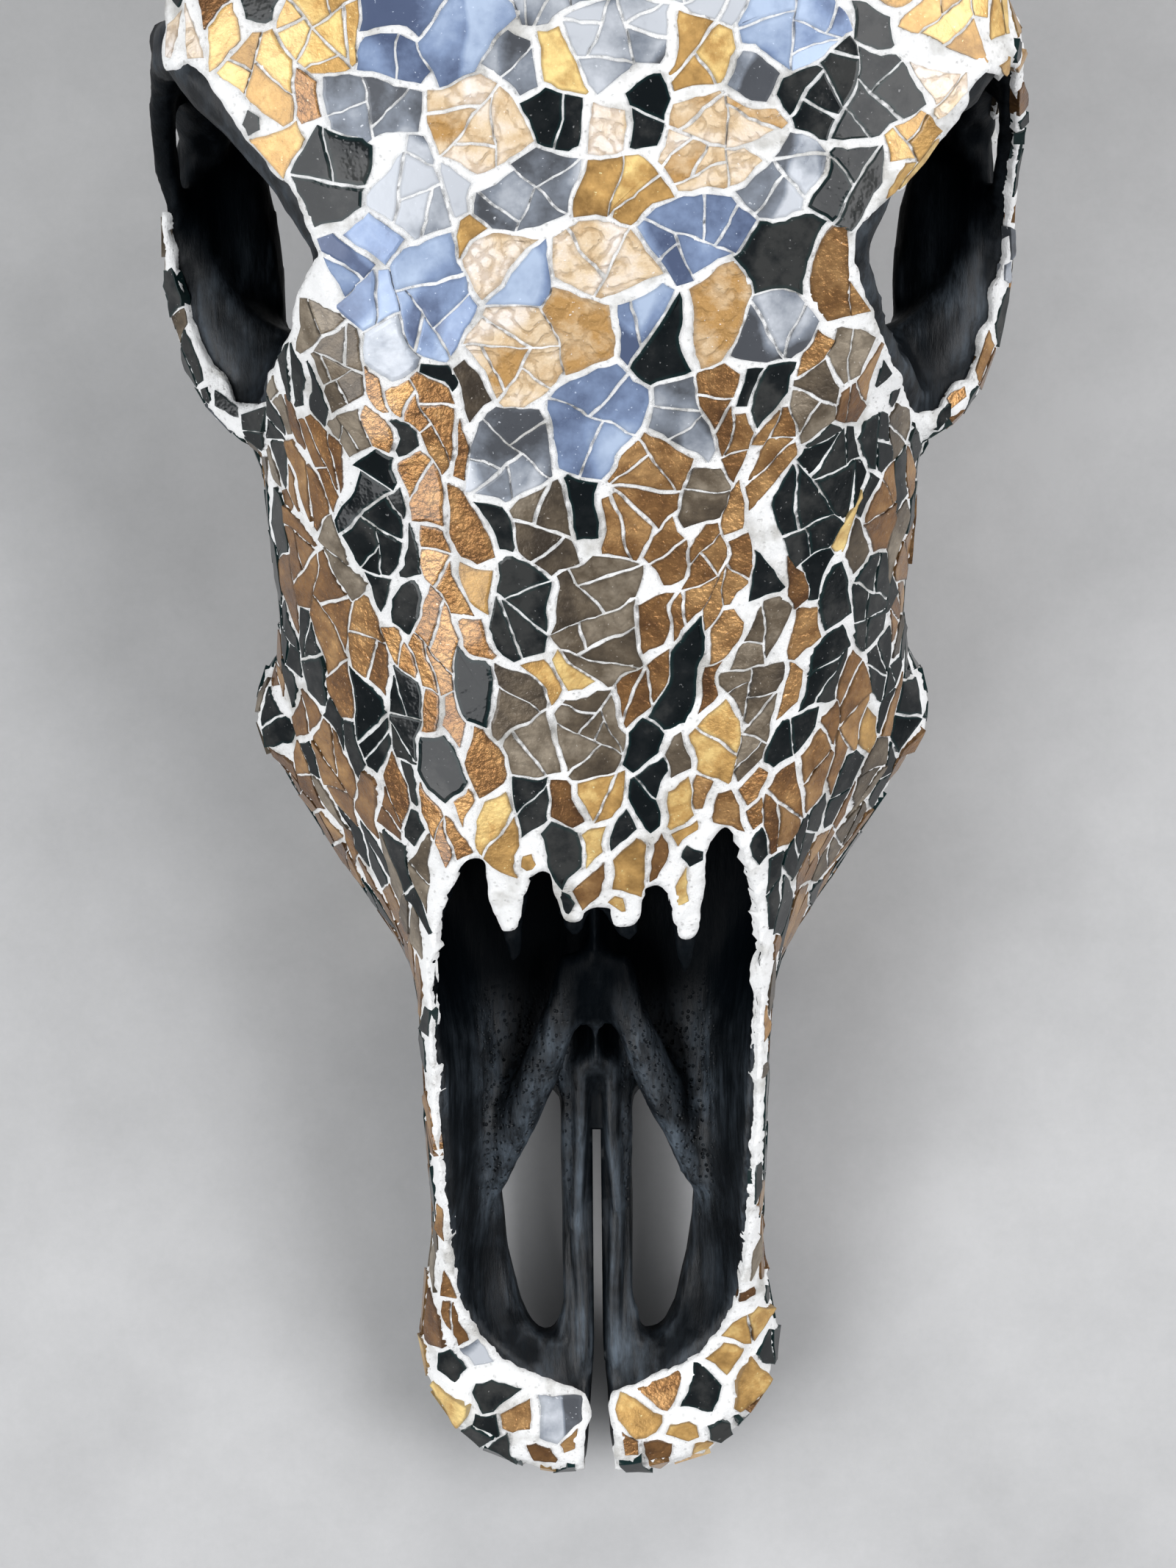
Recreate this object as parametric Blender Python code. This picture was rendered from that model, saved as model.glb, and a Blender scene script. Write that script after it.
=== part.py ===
"""A horned cow skull, finished on the outside with a bed of broken glass and grout.

The skull lies on its cheek teeth and on the two processes beside its occipital condyles.
Modelling coordinates are millimetres: x across, with the animal's left side at +x, t along
the skull from the tip of the muzzle to the poll, and z up from the biting plane of the
cheek teeth.  place() turns them into metres with the muzzle towards -Y.
"""

import math

import bmesh
import bpy
from mathutils import Matrix, Vector

MM = 0.001

# Driving dimensions, in millimetres, taken over the glass.
SKULL_LENGTH = 503.0  # muzzle tip to poll
POLL_HEIGHT = 184.0  # biting plane to poll
HORN_BASE_RADIUS = 23.0
CORE_BASE_RADIUS = 15.0
CORE_TIP_RADIUS = 9.0
CORE_LENGTH = 38.0
TOOTH_CROWN = 15.0  # how far the cheek teeth stand out of the jaw
TOOTH_ROOT = 7.0  # how far they are set into their sockets
GAP = 0.35  # clearance between solids that touch

BLEND_VOXEL = 2.1  # resolution at which the bones are grown together
SKIN_VOXEL = 1.9
SKULL_SHARE_KEPT = 0.0236  # of the skin's triangles, which leaves about 8,000

# Cross-sections of the face: t, then half an outline from the dorsal midline down to the
# palate.  The points are: midline, upper edge, upper side, side, widest, outer gum line,
# inner gum line, palate midline.
FACE_SECTIONS = [
    (-0.5, [(0, 20), (6, 21), (11, 21), (15, 19), (15, 17), (11, 15), (6, 15), (0, 16)]),
    (4, [(0, 24), (13, 25), (22, 25), (28, 21), (28, 17), (22, 13), (12, 12), (0, 13)]),
    (11, [(0, 26), (18, 28), (29, 28), (36.5, 24), (37, 17), (30, 11), (16, 10), (0, 11)]),
    (18, [(0, 26), (22, 29), (33, 29), (41.5, 25), (42, 17), (34, 11), (18, 10), (0, 11)]),
    (30, [(0, 26), (27, 30), (38, 30), (46, 26), (47, 18), (39, 11), (20, 10), (0, 11)]),
    (42, [(0, 27), (30, 35), (41, 35), (46.5, 29), (47, 19), (40, 12), (22, 12), (0, 13)]),
    (62, [(0, 30), (34, 47), (40, 47), (43, 38), (43.5, 24), (38, 14), (24, 14), (0, 15)]),
    (90, [(0, 40), (36, 60), (41.5, 60), (43.5, 50), (44, 32), (38, 17), (25, 16), (0, 17)]),
    (120, [(0, 60), (37, 72), (42.5, 71), (44.5, 58), (44.5, 38), (41, 21), (28, 18), (0, 20)]),
    (136, [(0, 80), (33, 81), (43, 77), (46, 62), (47, 44), (46, 22), (33, 17), (0, 24)]),
    (150, [(0, 91), (28, 89), (43, 83), (50, 66), (55, 46), (54, 21), (37, 16), (0, 27)]),
    (165, [(0, 101), (28, 98), (45, 90), (56, 70), (65, 50), (60, 20), (39, 15), (0, 29)]),
    (185, [(0, 110), (28, 107), (49, 96), (67, 76), (77, 56), (64, 20), (40, 15), (0, 31)]),
    (203, [(0, 118), (28, 114), (53, 101), (71, 82), (80, 60), (65, 20), (40, 15), (0, 32)]),
    (229, [(0, 129), (28, 125), (55, 112), (73, 92), (77.5, 68), (65, 20), (40, 15), (0, 33)]),
    (250, [(0, 138), (28, 135), (57, 123), (75, 102), (79, 76), (64, 20), (40, 15), (0, 34)]),
    (268, [(0, 145), (30, 143), (58, 131), (74, 110), (80, 86), (60, 22), (40, 16), (0, 35)]),
    (285, [(0, 152), (34, 150), (62, 140), (78, 118), (86, 94), (52, 30), (38, 22), (0, 36)]),
    (300, [(0, 157), (38, 156), (66, 147), (84, 126), (86, 104), (45, 42), (34, 34), (0, 38)]),
    (312, [(0, 160), (40, 159), (64, 150), (78, 132), (78, 112), (40, 55), (30, 42), (0, 42)]),
]

# The frontal bones: midline, shoulder, upper edge, lower edge, underside, underside midline.
FRONTAL_SECTIONS = [
    (262, [(0, 143), (30, 141), (50, 135), (56, 128), (40, 118), (0, 115)]),
    (285, [(0, 152), (34, 150), (60, 143), (66, 136), (45, 122), (0, 120)]),
    (309, [(0, 160), (40, 159), (64, 153), (69, 145), (45, 128), (0, 120)]),
    (330, [(0, 165), (46, 164), (78, 155), (86, 146), (60, 132), (0, 122)]),
    (346, [(0, 168), (50, 167), (86, 156), (95, 144), (70, 134), (0, 124)]),
    (365, [(0, 171), (50, 170), (84, 159), (94, 146), (72, 137), (0, 126)]),
    (400, [(0, 175), (48, 174), (78, 165), (88, 152), (66, 141), (0, 130)]),
    (440, [(0, 180), (46, 179), (74, 170), (84, 157), (62, 144), (0, 134)]),
    (470, [(0, 183), (44, 182), (72, 174), (83, 160), (60, 146), (0, 138)]),
    (492, [(0, POLL_HEIGHT), (42, 182), (64, 174), (70, 160), (54, 148), (0, 142)]),
    (SKULL_LENGTH, [(0, 178), (34, 176), (50, 170), (54, 160), (40, 152), (0, 150)]),
]

# The braincase: top midline, upper side, side, lower side, base midline.
BRAINCASE_SECTIONS = [
    (296, [(0, 150), (30, 145), (36, 110), (28, 70), (0, 60)]),
    (320, [(0, 155), (36, 150), (42, 112), (34, 68), (0, 55)]),
    (360, [(0, 160), (44, 155), (50, 112), (40, 66), (0, 55)]),
    (400, [(0, 165), (50, 158), (55, 115), (46, 66), (0, 55)]),
    (435, [(0, 172), (58, 160), (66, 115), (56, 68), (0, 56)]),
    (458, [(0, 176), (62, 165), (66, 120), (50, 76), (0, 62)]),
    (475, [(0, 178), (60, 168), (58, 130), (38, 100), (0, 92)]),
    (490, [(0, 178), (52, 170), (46, 146), (26, 128), (0, 124)]),
]

# The nasal cavity: roof midline, roof side, side, lower side, floor midline.
CAVITY_SECTIONS = [
    (22, [(0, 70), (6, 60), (8, 32), (5, 25.5), (0, 25)]),
    (30, [(0, 80), (18, 62), (22, 34), (14, 25), (0, 24)]),
    (45, [(0, 90), (30, 70), (33, 38), (24, 25), (0, 24)]),
    (60, [(0, 100), (36, 80), (36.5, 46), (27, 26), (0, 24)]),
    (90, [(0, 100), (37.5, 85), (37, 58), (25, 28), (0, 25)]),
    (115, [(0, 84), (34, 80), (38.5, 66), (27, 33), (0, 28)]),
    (136, [(0, 76), (30, 75), (40, 66), (32, 36), (0, 30)]),
    (150, [(0, 86), (26, 84), (43, 72), (40, 42), (0, 33)]),
    (170, [(0, 98), (26, 94), (48, 76), (48, 46), (0, 38)]),
    (200, [(0, 111), (28, 106), (58, 82), (56, 50), (0, 41)]),
    (230, [(0, 122), (28, 118), (58, 92), (54, 52), (0, 42)]),
    (260, [(0, 130), (26, 125), (46, 95), (40, 54), (0, 44)]),
    (285, [(0, 125), (16, 118), (26, 95), (22, 60), (0, 50)]),
]

# Plan of the nasal opening ahead of the nasal bones, half of it, as x, t.
OPENING_PLAN = [(36, 98), (38, 118), (40.5, 134), (0, 134)]
OPENING_LOW, OPENING_HIGH = 66.0, 130.0

# The back edge of the nasal opening, x, t, from the right bar to the left one: the notch beside
# the nasal bones, the two points of each nasal bone, and the other notch.  It is cut last, so
# that the points stay sharp.
NOSE_EDGE = [
    (-38, 126), (-39.6, 138), (-38.5, 147), (-36.5, 153), (-33.5, 160), (-30.5, 166), (-28, 167.2),
    (-26.6, 164), (-26.2, 158), (-24.4, 151), (-22.4, 146.5), (-20.8, 140.3), (-19.4, 139.8),
    (-18.2, 143), (-17.4, 151), (-15.3, 161), (-13.2, 162.4), (-11.4, 163.7), (-10.4, 159),
    (-8.4, 151), (-6.5, 147.3), (-5, 146.2), (-3.6, 147.2), (-1.2, 152.8), (1.6, 156.2),
    (2.8, 152), (4, 148.6), (6.2, 146), (8.4, 145.3), (10.2, 147), (11.6, 154), (13, 159.4),
    (15.2, 159), (18, 155.3), (18.8, 149.5), (20.4, 140.5), (22, 136.6), (23.2, 136.8),
    (24.6, 144.5), (26, 147.5), (27, 158.5), (27, 166.5), (28.8, 171), (31, 172.6), (33.4, 171.4),
    (36.2, 164.9), (38.2, 157), (39.8, 150), (40.6, 142), (40, 134), (38, 126),
]

# Plan of one palatine fissure, x, t: a teardrop, pointed at the back.
FISSURE_PLAN = [
    (12, 36), (16.5, 37), (20.5, 45), (24, 60), (25.5, 76), (21, 90), (15, 101),
    (11, 107), (9.8, 100), (9.2, 80), (9.0, 60), (9.4, 45),
]

# Half-width of the slit between the two incisive bones, at t.
SLIT_HALF_WIDTHS = [(-6, 3.6), (2, 3.1), (10, 2.8), (20, 2.2), (29, 1.5), (36, 1.2), (92, 1.1)]

# The middle line of the rim of the left orbit, x, t, z, with the half-thickness of the bone.
ORBIT_RIM = [
    (91, 346, 150, 4.5), (78, 334, 153, 4.5), (67, 321, 153, 4.5), (57.5, 303, 150, 4.5),
    (62, 290, 139, 4.5), (68.5, 283, 127, 4.5), (73.5, 274, 108, 4.5), (80, 270, 99, 4.5),
    (89.5, 278, 94, 4.5), (97, 296, 92, 4.5), (99.5, 312, 96, 4), (99.8, 326, 105, 3.8),
    (99.6, 338, 118, 3.8), (96.5, 348, 136, 4),
]

# Plan of the left orbit inside that rim, x, t.
ORBIT_PLAN = [
    (93, 341), (82, 330), (71, 317), (62.5, 303), (67, 294.5), (74, 288), (78, 279), (82, 276),
    (89, 283), (94, 300), (95, 315), (95.5, 330), (95.5, 340),
]

# Cheek teeth, front to back: name, centre x, centre t, width across, length along.
CHEEK_TEETH = [
    ("premolar_2", 44.0, 149.5, 12.0, 14.5),
    ("premolar_3", 47.0, 166.0, 15.0, 16.5),
    ("premolar_4", 50.0, 183.5, 17.0, 16.5),
    ("molar_1", 52.0, 204.5, 20.0, 23.0),
    ("molar_2", 52.5, 230.5, 20.0, 26.5),
    ("molar_3", 51.5, 258.5, 18.0, 27.0),
]

# The middle line of the left horn, x, t, z.
HORN_LINE = [
    (88, 474, 164), (118, 484, 170), (148, 499, 179), (175, 520, 191),
    (196, 547, 206), (208, 576, 222), (213, 603, 237),
]
HORN_TIP_RADIUS = 2.6

COLOURS = {
    "bone": ((0.022, 0.024, 0.028, 1), 0.55, 0.0),
    "horn": ((0.030, 0.022, 0.018, 1), 0.28, 0.0),
    "tooth": ((0.52, 0.46, 0.36, 1), 0.45, 0.0),
}


def place(x, t, z):
    """A point in modelling millimetres as metres, with the muzzle towards -Y."""
    return Vector((x * MM, t * MM, z * MM))


def smooth_line(points, per_span, closed):
    """Points of a Catmull-Rom curve through the given points, of any dimension."""
    count = len(points)
    spans = count if closed else count - 1
    line = []
    for i in range(spans):
        if closed:
            a, b, c, d = (points[(i + k) % count] for k in (-1, 0, 1, 2))
        else:
            b, c = points[i], points[i + 1]
            a = points[i - 1] if i else [2 * p - q for p, q in zip(b, c)]
            d = points[i + 2] if i + 2 < count else [2 * q - p for p, q in zip(b, c)]
        for step in range(per_span):
            u = step / per_span
            row = []
            for p, q, r, s in zip(a, b, c, d):
                bend = (2 * p - 5 * q + 4 * r - s) * u**2 + (3 * q - p - 3 * r + s) * u**3
                row.append(0.5 * (2 * q + (r - p) * u + bend))
            line.append(row)
    if not closed:
        line.append(list(points[-1]))
    return line


def skin_rings(bm, rings):
    """Joins rings of equal length into one closed body with flat ends."""
    grid = [[bm.verts.new(p) for p in ring] for ring in rings]
    count = len(grid[0])
    faces = [bm.faces.new(grid[0]), bm.faces.new(grid[-1])]
    for low, high in zip(grid, grid[1:]):
        for i in range(count):
            j = (i + 1) % count
            faces.append(bm.faces.new((low[i], low[j], high[j], high[i])))
    bmesh.ops.recalc_face_normals(bm, faces=faces)


def add_loft(bm, sections, step=6.0):
    """Adds a mirrored body whose cross-sections stand across t."""
    rings = []
    for (t0, first), (t1, last), i in zip(sections, sections[1:], range(len(sections))):
        before = sections[i - 1] if i else sections[0]
        after = sections[i + 2] if i + 2 < len(sections) else sections[-1]
        pieces = max(1, round((t1 - t0) / step))
        for k in range(pieces + (i + 2 == len(sections))):
            u = k / pieces
            half = []
            for a, b, c, d in zip(before[1], first, last, after[1]):
                point = []
                for p, q, r, s in zip(a, b, c, d):
                    span = t1 - t0
                    leave = (r - p) / max(t1 - before[0], 1e-6) * span
                    arrive = (s - q) / max(after[0] - t0, 1e-6) * span
                    point.append(
                        q * (2 * u**3 - 3 * u**2 + 1) + leave * (u**3 - 2 * u**2 + u)
                        + r * (3 * u**2 - 2 * u**3) + arrive * (u**3 - u**2)
                    )
                half.append(point)
            ring = half + [[-x, z] for x, z in reversed(half[1:-1])]
            t = t0 + u * (t1 - t0)
            rings.append([place(x, t, z) for x, z in smooth_line(ring, 4, True)])
    skin_rings(bm, rings)


def sweep_rings(centres, radii, sides, flat, closed):
    """Rings of points square to a line of centres, each squeezed sideways by flat."""
    count = len(centres)
    middle = sum(centres, Vector()) / count
    side = None
    rings = []
    for i, centre in enumerate(centres):
        ahead = centres[(i + 1) % count] if closed else centres[min(i + 1, count - 1)]
        behind = centres[i - 1] if closed or i else centres[0]
        along = (ahead - behind).normalized()
        if closed:
            side = centre - middle
        elif side is None:
            side = along.cross(Vector((0, 0, 1)))
            if side.length < 0.3:
                side = Vector((1, 0, 0))
        side = (side - along * side.dot(along)).normalized()
        over = side.cross(along)
        rings.append(
            [
                centre + side * math.cos(a) * radii[i] * flat + over * math.sin(a) * radii[i]
                for a in (math.tau * k / sides for k in range(sides))
            ]
        )
    return rings


def add_tube(bm, line, radii, sides=14, per_span=4, flat=1.0, closed=False, mirror=True):
    """Adds a tube along a line, with a radius for each of its points; flat squeezes it sideways."""
    rows = [[*point, radius] for point, radius in zip(line, radii)]
    path = smooth_line(rows, per_span, closed)
    centres = [place(*row[:3]) for row in path]
    rings = sweep_rings(centres, [row[3] * MM for row in path], sides, flat, closed)
    for sign in (1, -1) if mirror else (1,):
        turned = [[Vector((p.x * sign, p.y, p.z)) for p in ring] for ring in rings]
        if closed:
            skin_loop(bm, turned)
        else:
            skin_rings(bm, turned)


def skin_loop(bm, rings):
    """Joins rings into a ring-shaped body that closes on itself."""
    grid = [[bm.verts.new(p) for p in ring] for ring in rings]
    count = len(grid[0])
    faces = []
    for low, high in zip(grid, grid[1:] + grid[:1]):
        for i in range(count):
            j = (i + 1) % count
            faces.append(bm.faces.new((low[i], low[j], high[j], high[i])))
    bmesh.ops.recalc_face_normals(bm, faces=faces)


def add_ball(bm, centre, radii, turn=0.0, mirror=True):
    """Adds an ellipsoid, turned about z by an angle in degrees on the left side."""
    for sign in (1, -1) if mirror else (1,):
        x, t, z = centre
        matrix = (
            Matrix.Translation(place(x * sign, t, z))
            @ Matrix.Rotation(math.radians(turn * sign), 4, "Z")
            @ Matrix.Diagonal((*(r * MM for r in radii), 1))
        )
        bmesh.ops.create_icosphere(bm, subdivisions=3, radius=1.0, matrix=matrix)


def add_prism(bm, plan, low, high):
    """Adds an upright prism over a plan of x, t points."""
    floor = [bm.verts.new(place(x, t, low)) for x, t in plan]
    made = bmesh.ops.extrude_face_region(bm, geom=[bm.faces.new(floor)])
    lifted = [v for v in made["geom"] if isinstance(v, bmesh.types.BMVert)]
    bmesh.ops.translate(bm, verts=lifted, vec=(0, 0, (high - low) * MM))
    shell = {f for v in floor + lifted for f in v.link_faces}
    bmesh.ops.recalc_face_normals(bm, faces=list(shell))


def new_object(name, bm, helper=False):
    """Links a bmesh as an object; a helper shapes others and isn't a part."""
    mesh = bpy.data.meshes.new(name)
    bm.to_mesh(mesh)
    bm.free()
    obj = bpy.data.objects.new(name, mesh)
    bpy.context.scene.collection.objects.link(obj)
    if helper:
        obj.hide_render = True
        obj.display_type = "WIRE"
    return obj


def grow_together(obj, voxel):
    """Fuses overlapping bodies of one object into a single skin."""
    remesh = obj.modifiers.new("grow_together", "REMESH")
    remesh.mode = "VOXEL"
    remesh.voxel_size = voxel * MM
    remesh.adaptivity = 0.0


def combine(obj, other, operation):
    """Cuts or joins another object with an exact Boolean."""
    boolean = obj.modifiers.new(operation.lower(), "BOOLEAN")
    boolean.operation = operation
    boolean.solver = "EXACT"
    boolean.object = other


def material(kind):
    """The Principled material of one finish."""
    found = bpy.data.materials.get(kind)
    if found:
        return found
    colour, roughness, metallic = COLOURS[kind]
    made = bpy.data.materials.new(kind)
    made.use_nodes = True
    shader = made.node_tree.nodes["Principled BSDF"]
    shader.inputs["Base Color"].default_value = colour
    shader.inputs["Roughness"].default_value = roughness
    shader.inputs["Metallic"].default_value = metallic
    return made


def outer_bones():
    """Everything that shapes the skull from outside, before it is hollowed."""
    bm = bmesh.new()
    add_loft(bm, FACE_SECTIONS)
    add_loft(bm, FRONTAL_SECTIONS)
    add_loft(bm, BRAINCASE_SECTIONS)
    # Facial tuber, and the low crest from it to the cheek bone.
    add_ball(bm, (77, 203, 62), (8.5, 15, 9))
    add_tube(bm, [(75, 205, 63), (72.5, 235, 70), (75, 260, 80), (83, 282, 88)], [6, 5, 5.5, 6.5])
    # Cheek bone under the eye, then the arch back to the ear.
    add_ball(bm, (90.5, 298, 90), (9.5, 24, 11), turn=-14)
    arch = [(93, 300, 92), (95, 325, 92), (93, 352, 89), (87, 380, 86), (78, 404, 86), (66, 420, 92)]
    add_tube(bm, arch, [8, 8.5, 8, 8, 9, 12], flat=0.6)
    # Bar behind the eye, from the corner of the frontal bone to the arch.
    add_tube(bm, [(88, 350, 147), (94, 354, 130), (94, 350, 112), (92, 340, 95)], [9, 8, 8, 8], flat=0.8)
    # Ear region and its bulla.
    add_ball(bm, (58, 424, 92), (17, 18, 22))
    add_ball(bm, (41, 402, 56), (11, 17, 15))
    # Base of the skull and the occipital condyles.
    add_tube(bm, [(0, 318, 62), (0, 360, 60), (0, 405, 59), (0, 450, 66)], [15, 15, 17, 20], mirror=False)
    add_ball(bm, (23, 466, 73), (13, 16, 17))
    # The processes beside the condyles, on which the skull rests.
    add_tube(bm, [(53, 440, 88), (52, 439, 58), (49, 435, 28), (46, 429, -4)], [17, 14, 10, 7], flat=0.62)
    # Wings of the palate behind the teeth.
    add_tube(bm, [(25, 280, 38), (24, 310, 44), (23, 342, 50)], [20, 19, 12], flat=0.16)
    # Crest between the horns.
    add_tube(bm, [(-52, 490, 168), (0, 494, 173), (52, 490, 168)], [13, 15, 13], mirror=False)
    # Stems on which the horns sit.
    add_tube(bm, [(52, 462, 158), (76, 470, 162), (100, 478, 166), (126, 487, 171)], [27, 24.5, 22, 14])
    return new_object("skull_forms", bm)


def hollows():
    """Everything that is open in the skull: nose, eyes, throat and spinal canal."""
    bm = bmesh.new()
    add_loft(bm, CAVITY_SECTIONS, step=4.0)
    mirrored = [(-x, t) for x, t in reversed(OPENING_PLAN) if x > 0]
    add_prism(bm, OPENING_PLAN + mirrored, OPENING_LOW, OPENING_HIGH)
    for sign in (1, -1):
        plan = [(x * sign, t) for x, t in FISSURE_PLAN]
        add_prism(bm, plan, -10, 34)
    # Eye sockets, open above, and behind and below on the side of the braincase.
    for sign in (1, -1):
        add_prism(bm, [(x * sign, t) for x, t in ORBIT_PLAN], 100, 200)
    add_ball(bm, (76, 314, 122), (24, 34, 24), turn=-30)
    add_ball(bm, (70, 320, 84), (16, 27, 46))
    # Inner nostrils, between the wings of the palate.
    add_tube(bm, [(0, 270, 62), (0, 300, 56), (0, 330, 40)], [17, 17, 22], mirror=False)
    # Spinal canal.
    add_tube(bm, [(0, 420, 92), (0, 450, 88), (0, 485, 82)], [15, 17, 21], mirror=False)
    return new_object("skull_hollows", bm, helper=True)


def inner_bones():
    """Bones inside the nose: the ploughshare bone, the incisive rods and the lips of the palate."""
    bm = bmesh.new()
    ploughshare = [(0, 108, 27), (0, 150, 40), (0, 200, 58), (0, 270, 90)]
    add_tube(bm, ploughshare, [6, 13, 20, 34], flat=0.14, mirror=False)
    add_tube(bm, [(5.6, 22, 20), (5.6, 50, 20.5), (5.6, 80, 22), (5.2, 112, 26)], [5.2, 4.4, 4.6, 5.0])
    # Porous lips of the palate on either side of the incisive rods.
    add_tube(bm, [(27, 76, 27), (23, 90, 31), (16, 106, 35), (9, 124, 39), (6, 140, 42)], [3, 5, 6, 5, 4])
    return new_object("nose_bones", bm, helper=True)


def midline_slit():
    """The narrow cut between the two incisive bones."""
    bm = bmesh.new()
    left = [(w, t) for t, w in SLIT_HALF_WIDTHS]
    right = [(-w, t) for t, w in reversed(SLIT_HALF_WIDTHS)]
    add_prism(bm, left + right, -10, 60)
    return new_object("midline_slit", bm, helper=True)


def nose_edge_cutter():
    """The space between and beside the points of the nasal bones."""
    bm = bmesh.new()
    add_prism(bm, NOSE_EDGE, OPENING_LOW, OPENING_HIGH)
    return new_object("nose_edge", bm, helper=True)


def horn_axis():
    """Where the left horn's seat is, and the direction in which its core points."""
    seat = place(*HORN_LINE[0])
    return seat, (place(*HORN_LINE[1]) - seat).normalized()


def horn_seat_cutters():
    """Trims each horn stem to a flat seat with a tapered core standing on it."""
    bm = bmesh.new()
    seat, along = horn_axis()
    outer, reach = 34 * MM, 60 * MM
    profile = [
        (0.0, CORE_LENGTH * MM),
        (CORE_TIP_RADIUS * MM, (CORE_LENGTH - 3) * MM),
        (CORE_BASE_RADIUS * MM, 0.0),
        (outer, 0.0),
        (outer, reach),
        (0.0, reach),
    ]
    turned = along.to_track_quat("Z", "Y").to_matrix().to_4x4()
    for sign in (1, -1):
        side = bmesh.new()
        verts = [side.verts.new((r, 0, h)) for r, h in profile]
        edges = [side.edges.new(pair) for pair in zip(verts, verts[1:])]
        bmesh.ops.spin(
            side, geom=verts + edges, axis=(0, 0, 1), cent=(0, 0, 0),
            steps=24, angle=math.tau, use_merge=True,
        )
        bmesh.ops.remove_doubles(side, verts=side.verts, dist=1e-6)
        side.transform(Matrix.Translation(seat) @ turned)
        side.transform(Matrix.Diagonal((sign, 1, 1, 1)))
        if side.calc_volume(signed=True) < 0:
            bmesh.ops.reverse_faces(side, faces=side.faces)
        mesh = bpy.data.meshes.new("seat")
        side.to_mesh(mesh)
        side.free()
        bm.from_mesh(mesh)
        bpy.data.meshes.remove(mesh)
    return new_object("horn_seats", bm, helper=True)


def tooth_body(bm, x, t, width, length, low, high, grow):
    """Adds one tooth, or its socket when grown, as a block with rounded upright edges."""
    made = bmesh.ops.create_cube(
        bm,
        size=1.0,
        matrix=Matrix.Translation(place(x, t, (low + high) / 2))
        @ Matrix.Diagonal(
            ((width + 2 * grow) * MM, (length + 2 * grow) * MM, (high - low) * MM, 1)
        ),
    )
    upright = {
        e for v in made["verts"] for e in v.link_edges
        if abs(e.verts[0].co.z - e.verts[1].co.z) > 1 * MM
    }
    bmesh.ops.bevel(
        bm,
        geom=list(upright),
        offset=(2.8 + grow) * MM,
        segments=2,
        profile=0.5,
        affect="EDGES",
        material=-1,
    )


def socket_cutters():
    """The sockets of all the cheek teeth."""
    bm = bmesh.new()
    top = TOOTH_CROWN + TOOTH_ROOT + GAP
    for _, x, t, width, length in CHEEK_TEETH:
        for sign in (1, -1):
            tooth_body(bm, x * sign, t, width, length, -5, top, GAP)
    return new_object("tooth_sockets", bm, helper=True)


def ground_cutter():
    """Levels what the skull rests on with the biting plane of the teeth."""
    bm = bmesh.new()
    add_prism(bm, [(-90, 380), (90, 380), (90, 480), (-90, 480)], -40, 0)
    return new_object("ground", bm, helper=True)


def skull():
    """The skull, from forms grown together, hollowed, and trimmed where pieces fit it."""
    body = outer_bones()
    body.name = "skull"
    grow_together(body, BLEND_VOXEL)
    cavities = hollows()
    grow_together(cavities, BLEND_VOXEL)
    combine(body, cavities, "DIFFERENCE")
    rim = rims_and_nose()
    combine(body, rim, "UNION")
    grow_together(body, SKIN_VOXEL)
    smooth = body.modifiers.new("soften", "SMOOTH")
    smooth.factor = 0.5
    smooth.iterations = 4
    reduce = body.modifiers.new("reduce", "DECIMATE")
    reduce.ratio = SKULL_SHARE_KEPT
    combine(body, nose_edge_cutter(), "DIFFERENCE")
    combine(body, midline_slit(), "DIFFERENCE")
    combine(body, socket_cutters(), "DIFFERENCE")
    combine(body, horn_seat_cutters(), "DIFFERENCE")
    combine(body, ground_cutter(), "DIFFERENCE")
    body.data.materials.append(material("bone"))
    return body


def rims_and_nose():
    """The raised eye rims and the bones in the nose, which are added after the hollows."""
    nose = inner_bones()
    bm = bmesh.new()
    bm.from_mesh(nose.data)
    bpy.data.objects.remove(nose)
    add_tube(bm, [p[:3] for p in ORBIT_RIM], [p[3] for p in ORBIT_RIM], closed=True)
    # Floor of each orbit, which reaches back as the cheek arch.
    add_ball(bm, (89, 311, 88), (15, 42, 8), turn=-5)
    obj = new_object("rims_and_nose", bm, helper=True)
    grow_together(obj, SKIN_VOXEL)
    return obj


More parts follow.
